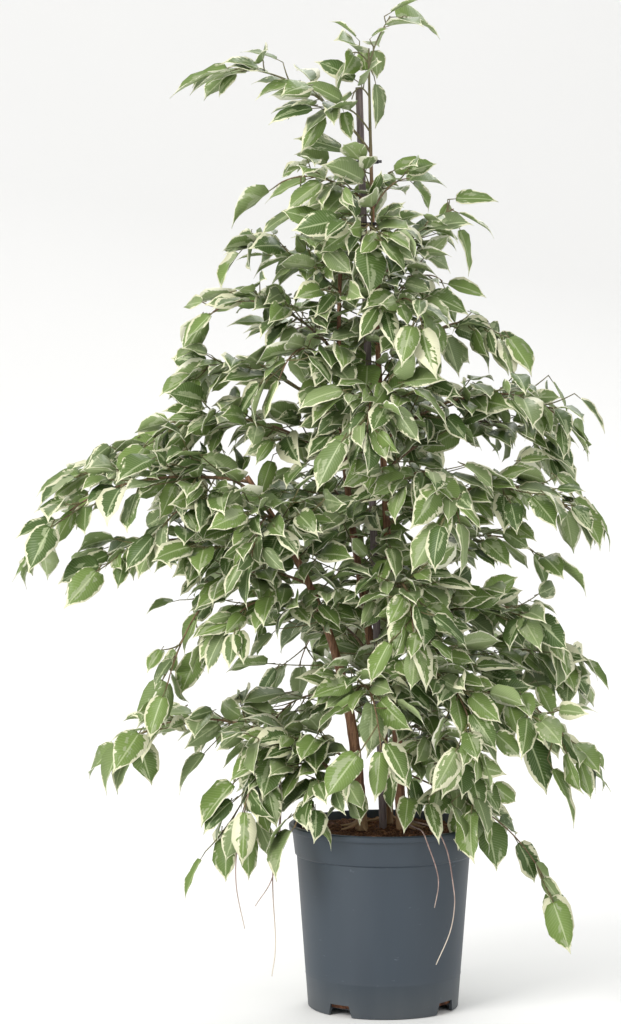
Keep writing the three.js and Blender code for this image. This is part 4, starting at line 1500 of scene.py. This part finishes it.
def place_leaf(root, tip, facing, width, seed):
    """Sets a leaf, moved in depth if it would cross another. Returns whether there was room."""
    for depth in DEPTH_STEPS:
        move = Vector((0, depth, 0))
        end = root + move
        matrix, length = aimed_leaf(end, tip + move, facing, width)
        tree = blade_tree(matrix, length, True)
        if clear(matrix, length, tree):
            settle(matrix, length, tree)
            branch = min(grown, key=lambda b: nearest_share(b.axis, end)[0])
            share = nearest_share(branch.axis, end)[1]
            foot = branch.axis.point(max(share - TWIG_START, FIRST_START))
            branch.blades.append((matrix, length, seed, True, Vector()))
            branch.fine_twigs.append((Straight(foot, end), Vector()))
            return True
    return False


placed = [place_leaf(Vector(root), Vector(tip), Vector(facing), width, (i, 500))
          for i, (root, tip, facing, width) in enumerate(PLACED_LEAVES)]
print("leaves set one by one", sum(placed), "of", len(placed))

# %% [markdown]
# ## Leaves in between
#
# The solids hold about a sixth of the leaves, because they have few faces. The rest grow by the
# same rules in the places between: every other place on each line, a leaf at the end of each
# axis, and short twigs on the bare sides of the axes. Each leaf is rolled about its own length
# by a draw, because real leaves don't all face the same way, and is tried at a few turns until
# its blade is clear and inside the outline. Copies over the whole surface of a branch would be
# quicker to write, but they would cross one another.

# %% Growing a leaf or a leafy twig
# The most that a leaf rolls to either side, in radians, and the way from leaf to leaf on a twig
MOST_ROLL = 0.8
NEXT_LEAF = 20


def try_leaf(branch, line, share, side, seed, stalk, shift, turns=TURNS):
    """Grows a leaf at the first turn at which it is clear. Returns whether it did."""
    length = LEAF_LENGTH * (0.58 + 0.4 * draw(*seed, 1))
    roll = Matrix.Rotation(MOST_ROLL * (2 * draw(*seed, 6) - 1), 4, "Y")
    for turn in turns:
        matrix = leaf_frame(line, share, side, seed, turn) @ roll
        if not in_crown(matrix, length):
            continue
        tree = blade_tree(matrix, length, stalk)
        if clear(matrix, length, tree):
            settle(matrix, length, tree)
            branch.blades.append((matrix, length, seed, stalk, shift))
            return True
    return False


def fine_twig(line, share, side, length, lean, seed, turn):
    """A short twig between those of the solids. It leans up or down."""
    root, along, across = foothold(line, share)
    way = along * 0.7 + across * (side * (0.45 + 0.35 * draw(*seed, 2))) + UP * lean
    return Straight(root, root + turned(way.normalized(), turn) * length)


def leafy_twig(branch, line, shift, side, seed, number):
    """Keeps a twig if its end leaf is clear, and grows leaves on both its sides."""
    if not try_leaf(branch, line, 1, side, seed, False, shift, (0,)):
        return False
    branch.fine_twigs.append((line, shift))
    steps = max(1, round(line.length * 0.8 / NEXT_LEAF))
    for k in range(steps):
        share = 1 - 0.8 * (k + 1) / steps
        own_seed = (seed[0], 600 + number * 12 + k)
        try_leaf(branch, line, share, side if k % 2 else -side, own_seed, True, shift)
    return True


# %% Leaves in between
FINE_TWIG_SPACING = 11
LEANS = [0.3, -0.4, 0.05, -0.15, 0.55]
# How many fine twigs the sparse branches have: those of the open top, two low on the left and
# the thin one low on the right. With three or fewer there is no leaf at the end of the axis.
OWN_COUNTS = {1: 0, 2: 0, 3: 0, 4: 1, 5: 2, 14: 15, 15: 9, SLENDER: 3}


def grow_fine_twigs(branch, index, count, leafy_share):
    """Grows short leafy twigs from the stem outwards, on both sides of the axis."""
    for i in range(count):
        share = 0.1 + leafy_share * (i + 0.5) / count
        side = -side_of(i)
        seed = (index, 200 + i)
        length = (20 + 42 * (1 - share)) * (0.75 + 0.5 * draw(*seed, 5))
        lean = LEANS[(i + index) % len(LEANS)]
        for turn in (0, 35, -35):
            line = fine_twig(branch.axis, share, side, length, lean, seed, turn)
            if leafy_twig(branch, line, branch.shift(share), side, seed, i):
                break


for index, branch in enumerate(grown):
    number = index + 1
    count = OWN_COUNTS.get(number, round(branch.reach / FINE_TWIG_SPACING))
    if count > 3:
        try_leaf(branch, branch.axis, 1, 1, (index, 400), True, Vector())
    for line, share, place, shift in branch.places(1):
        try_leaf(branch, line, share, side_of(place), (index, place), True, shift)
    grow_fine_twigs(branch, index, count, 0.3 if number == SLENDER else 0.86)
print("leaves on the branches", sum(len(b.blades) for b in grown))

# %% [markdown]
# ## Shoots on the stems
#
# Between its branches a stem carries short leafy shoots of its own, in a spiral up its bark.
# They close the middle of the crown, and they are fewer low down, where light hardly reaches.
# More branches would close it too, but each would need a solid of its own.

# %% Shoots
# The turn from shoot to shoot in degrees, so that none stands over one just below
SPIRAL_TURN, FIRST_TURN = 137.5, 40
# The shoots get shorter towards this height, over the last stretch below it
SHOOTS_TOP, SHORTER_OVER = 1075, 240


def stem_shoots(name, low, high, step, seed_row):
    """Leafy shoots on a stem from one height to another, in mm."""
    curve = STEMS[name][0]
    shoots = Branch(f"stem_shoots_{name}")
    for i in range(int((high - low) / step)):
        height = low + step * i
        root = curve.point(curve.share_at(height))
        reach = (46 + 50 * draw(seed_row, i, 1)) * min(1, (SHOOTS_TOP - height) / SHORTER_OVER)
        for turn in (0, 40, -40, 80):
            out = out_from(SPIRAL_TURN * i + FIRST_TURN + turn)
            way = out + UP * (0.7 - 0.8 * draw(seed_row, i, 2))
            line = Straight(root, root + way.normalized() * reach)
            if leafy_twig(shoots, line, Vector(), side_of(i), (seed_row, 200 + i), i):
                break
    return shoots


grown += [stem_shoots("left", 330, 585, 13, 60), stem_shoots("back", 320, 850, 11, 61),
          stem_shoots("leader", 300, 930, 9, 62)]
print("leaves in all", sum(len(b.blades) for b in grown))

# %% [markdown]
# ## Building the branches
#
# Each branch becomes one mesh that replaces its solid: round wood along its axis and twigs, and
# a copy of a leaf for each place. Joining thousands of objects would be slow, so each leaf is
# added to the branch's own bmesh and moved there. The wood starts inside its stem, so that it
# looks grown on.

# %% Wood and leaves of a branch
AXIS_STEPS, TWIG_STEPS, TWIG_SAG = 26, 5, 1.5
AXIS_TIP_RADIUS, SLENDER_RADIUS, MOST_RADIUS = 0.65, 1.1, 2.3
TWIG_RADIUS, TWIG_TIP_RADIUS = 0.95, 0.55


def taper_run(line, shift, root, tip, steps, sag=0.0):
    """Points and radii along a line that is moved by a shift and sags in its middle."""
    run = []
    for i in range(steps + 1):
        share = i / steps
        spot = line.point(share) + shift - UP * (sag * 4 * share * (1 - share))
        run.append((spot, root + (tip - root) * share))
    return run


def add_wood(bm, runs, finish_number, resolution):
    """Adds round wood, made in a bmesh of its own so that the branch's order stays as it is."""
    wood = wood_bmesh(runs, resolution)
    for face in wood.faces:
        face.material_index = finish_number
    mesh = bpy.data.meshes.new("wood")
    wood.to_mesh(mesh)
    wood.free()
    bm.from_mesh(mesh)
    bpy.data.meshes.remove(mesh)


def add_leaf(bm, layer, matrix, length, seed, stalk, shift):
    """Adds a copy of one of the leaves, with a number of its own for its pattern."""
    kind = int(draw(*seed, 7) * LEAF_KINDS)
    first = len(bm.verts)
    bm.from_mesh((stalked_leaves if stalk else end_leaves)[kind])
    bm.verts.ensure_lookup_table()
    new = bm.verts[first:]
    for vert in new:
        vert[layer].z = draw(*seed, 8)
    place = Matrix.Translation(shift) @ matrix @ Matrix.Scale(length, 4)
    bmesh.ops.transform(bm, matrix=Matrix.Scale(MM, 4) @ place, verts=new)


# %% Branch pieces
total = 0
for index, branch in enumerate(grown):
    bm = bmesh.new()
    layer = bm.verts.layers.float_vector.new(LEAF_PLACE)
    if branch.axis:
        radius = SLENDER_RADIUS if index + 1 == SLENDER else min(MOST_RADIUS, 0.8 + branch.reach / 180)
        add_wood(bm, [taper_run(branch.axis, Vector(), radius, AXIS_TIP_RADIUS, AXIS_STEPS)], BARK, 2)
    twigs = [(line, branch.shift(share)) for line, share, _ in branch.twigs] + branch.fine_twigs
    runs = [taper_run(line, shift, TWIG_RADIUS, TWIG_TIP_RADIUS, TWIG_STEPS, TWIG_SAG)
            for line, shift in twigs]
    if runs:
        add_wood(bm, runs, SHOOT, 1)
    for number, share, points in HANGING_ROOTS:
        if number == index + 1:
            start = branch.axis.point(share)
            add_wood(bm, [thread_run([start + Vector(p) for p in points])], ROOT, 1)
    for blade in branch.blades:
        add_leaf(bm, layer, *blade)
    piece = new_piece(f"leafy_{branch.node}", bm, FINISHES)
    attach(piece, "root")
    if branch.axis:
        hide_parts(branch.node)
    total += len(piece.data.polygons)
print("branch faces", total)

# %% [markdown]
# ## Sizes
#
# The leaves are kept in the part's box, and the part's box is printed. The finer pieces have
# to stay in the part's box.

# %% Finish
print("cad", [[round(v, 3) for v in c] for c in cad_box])
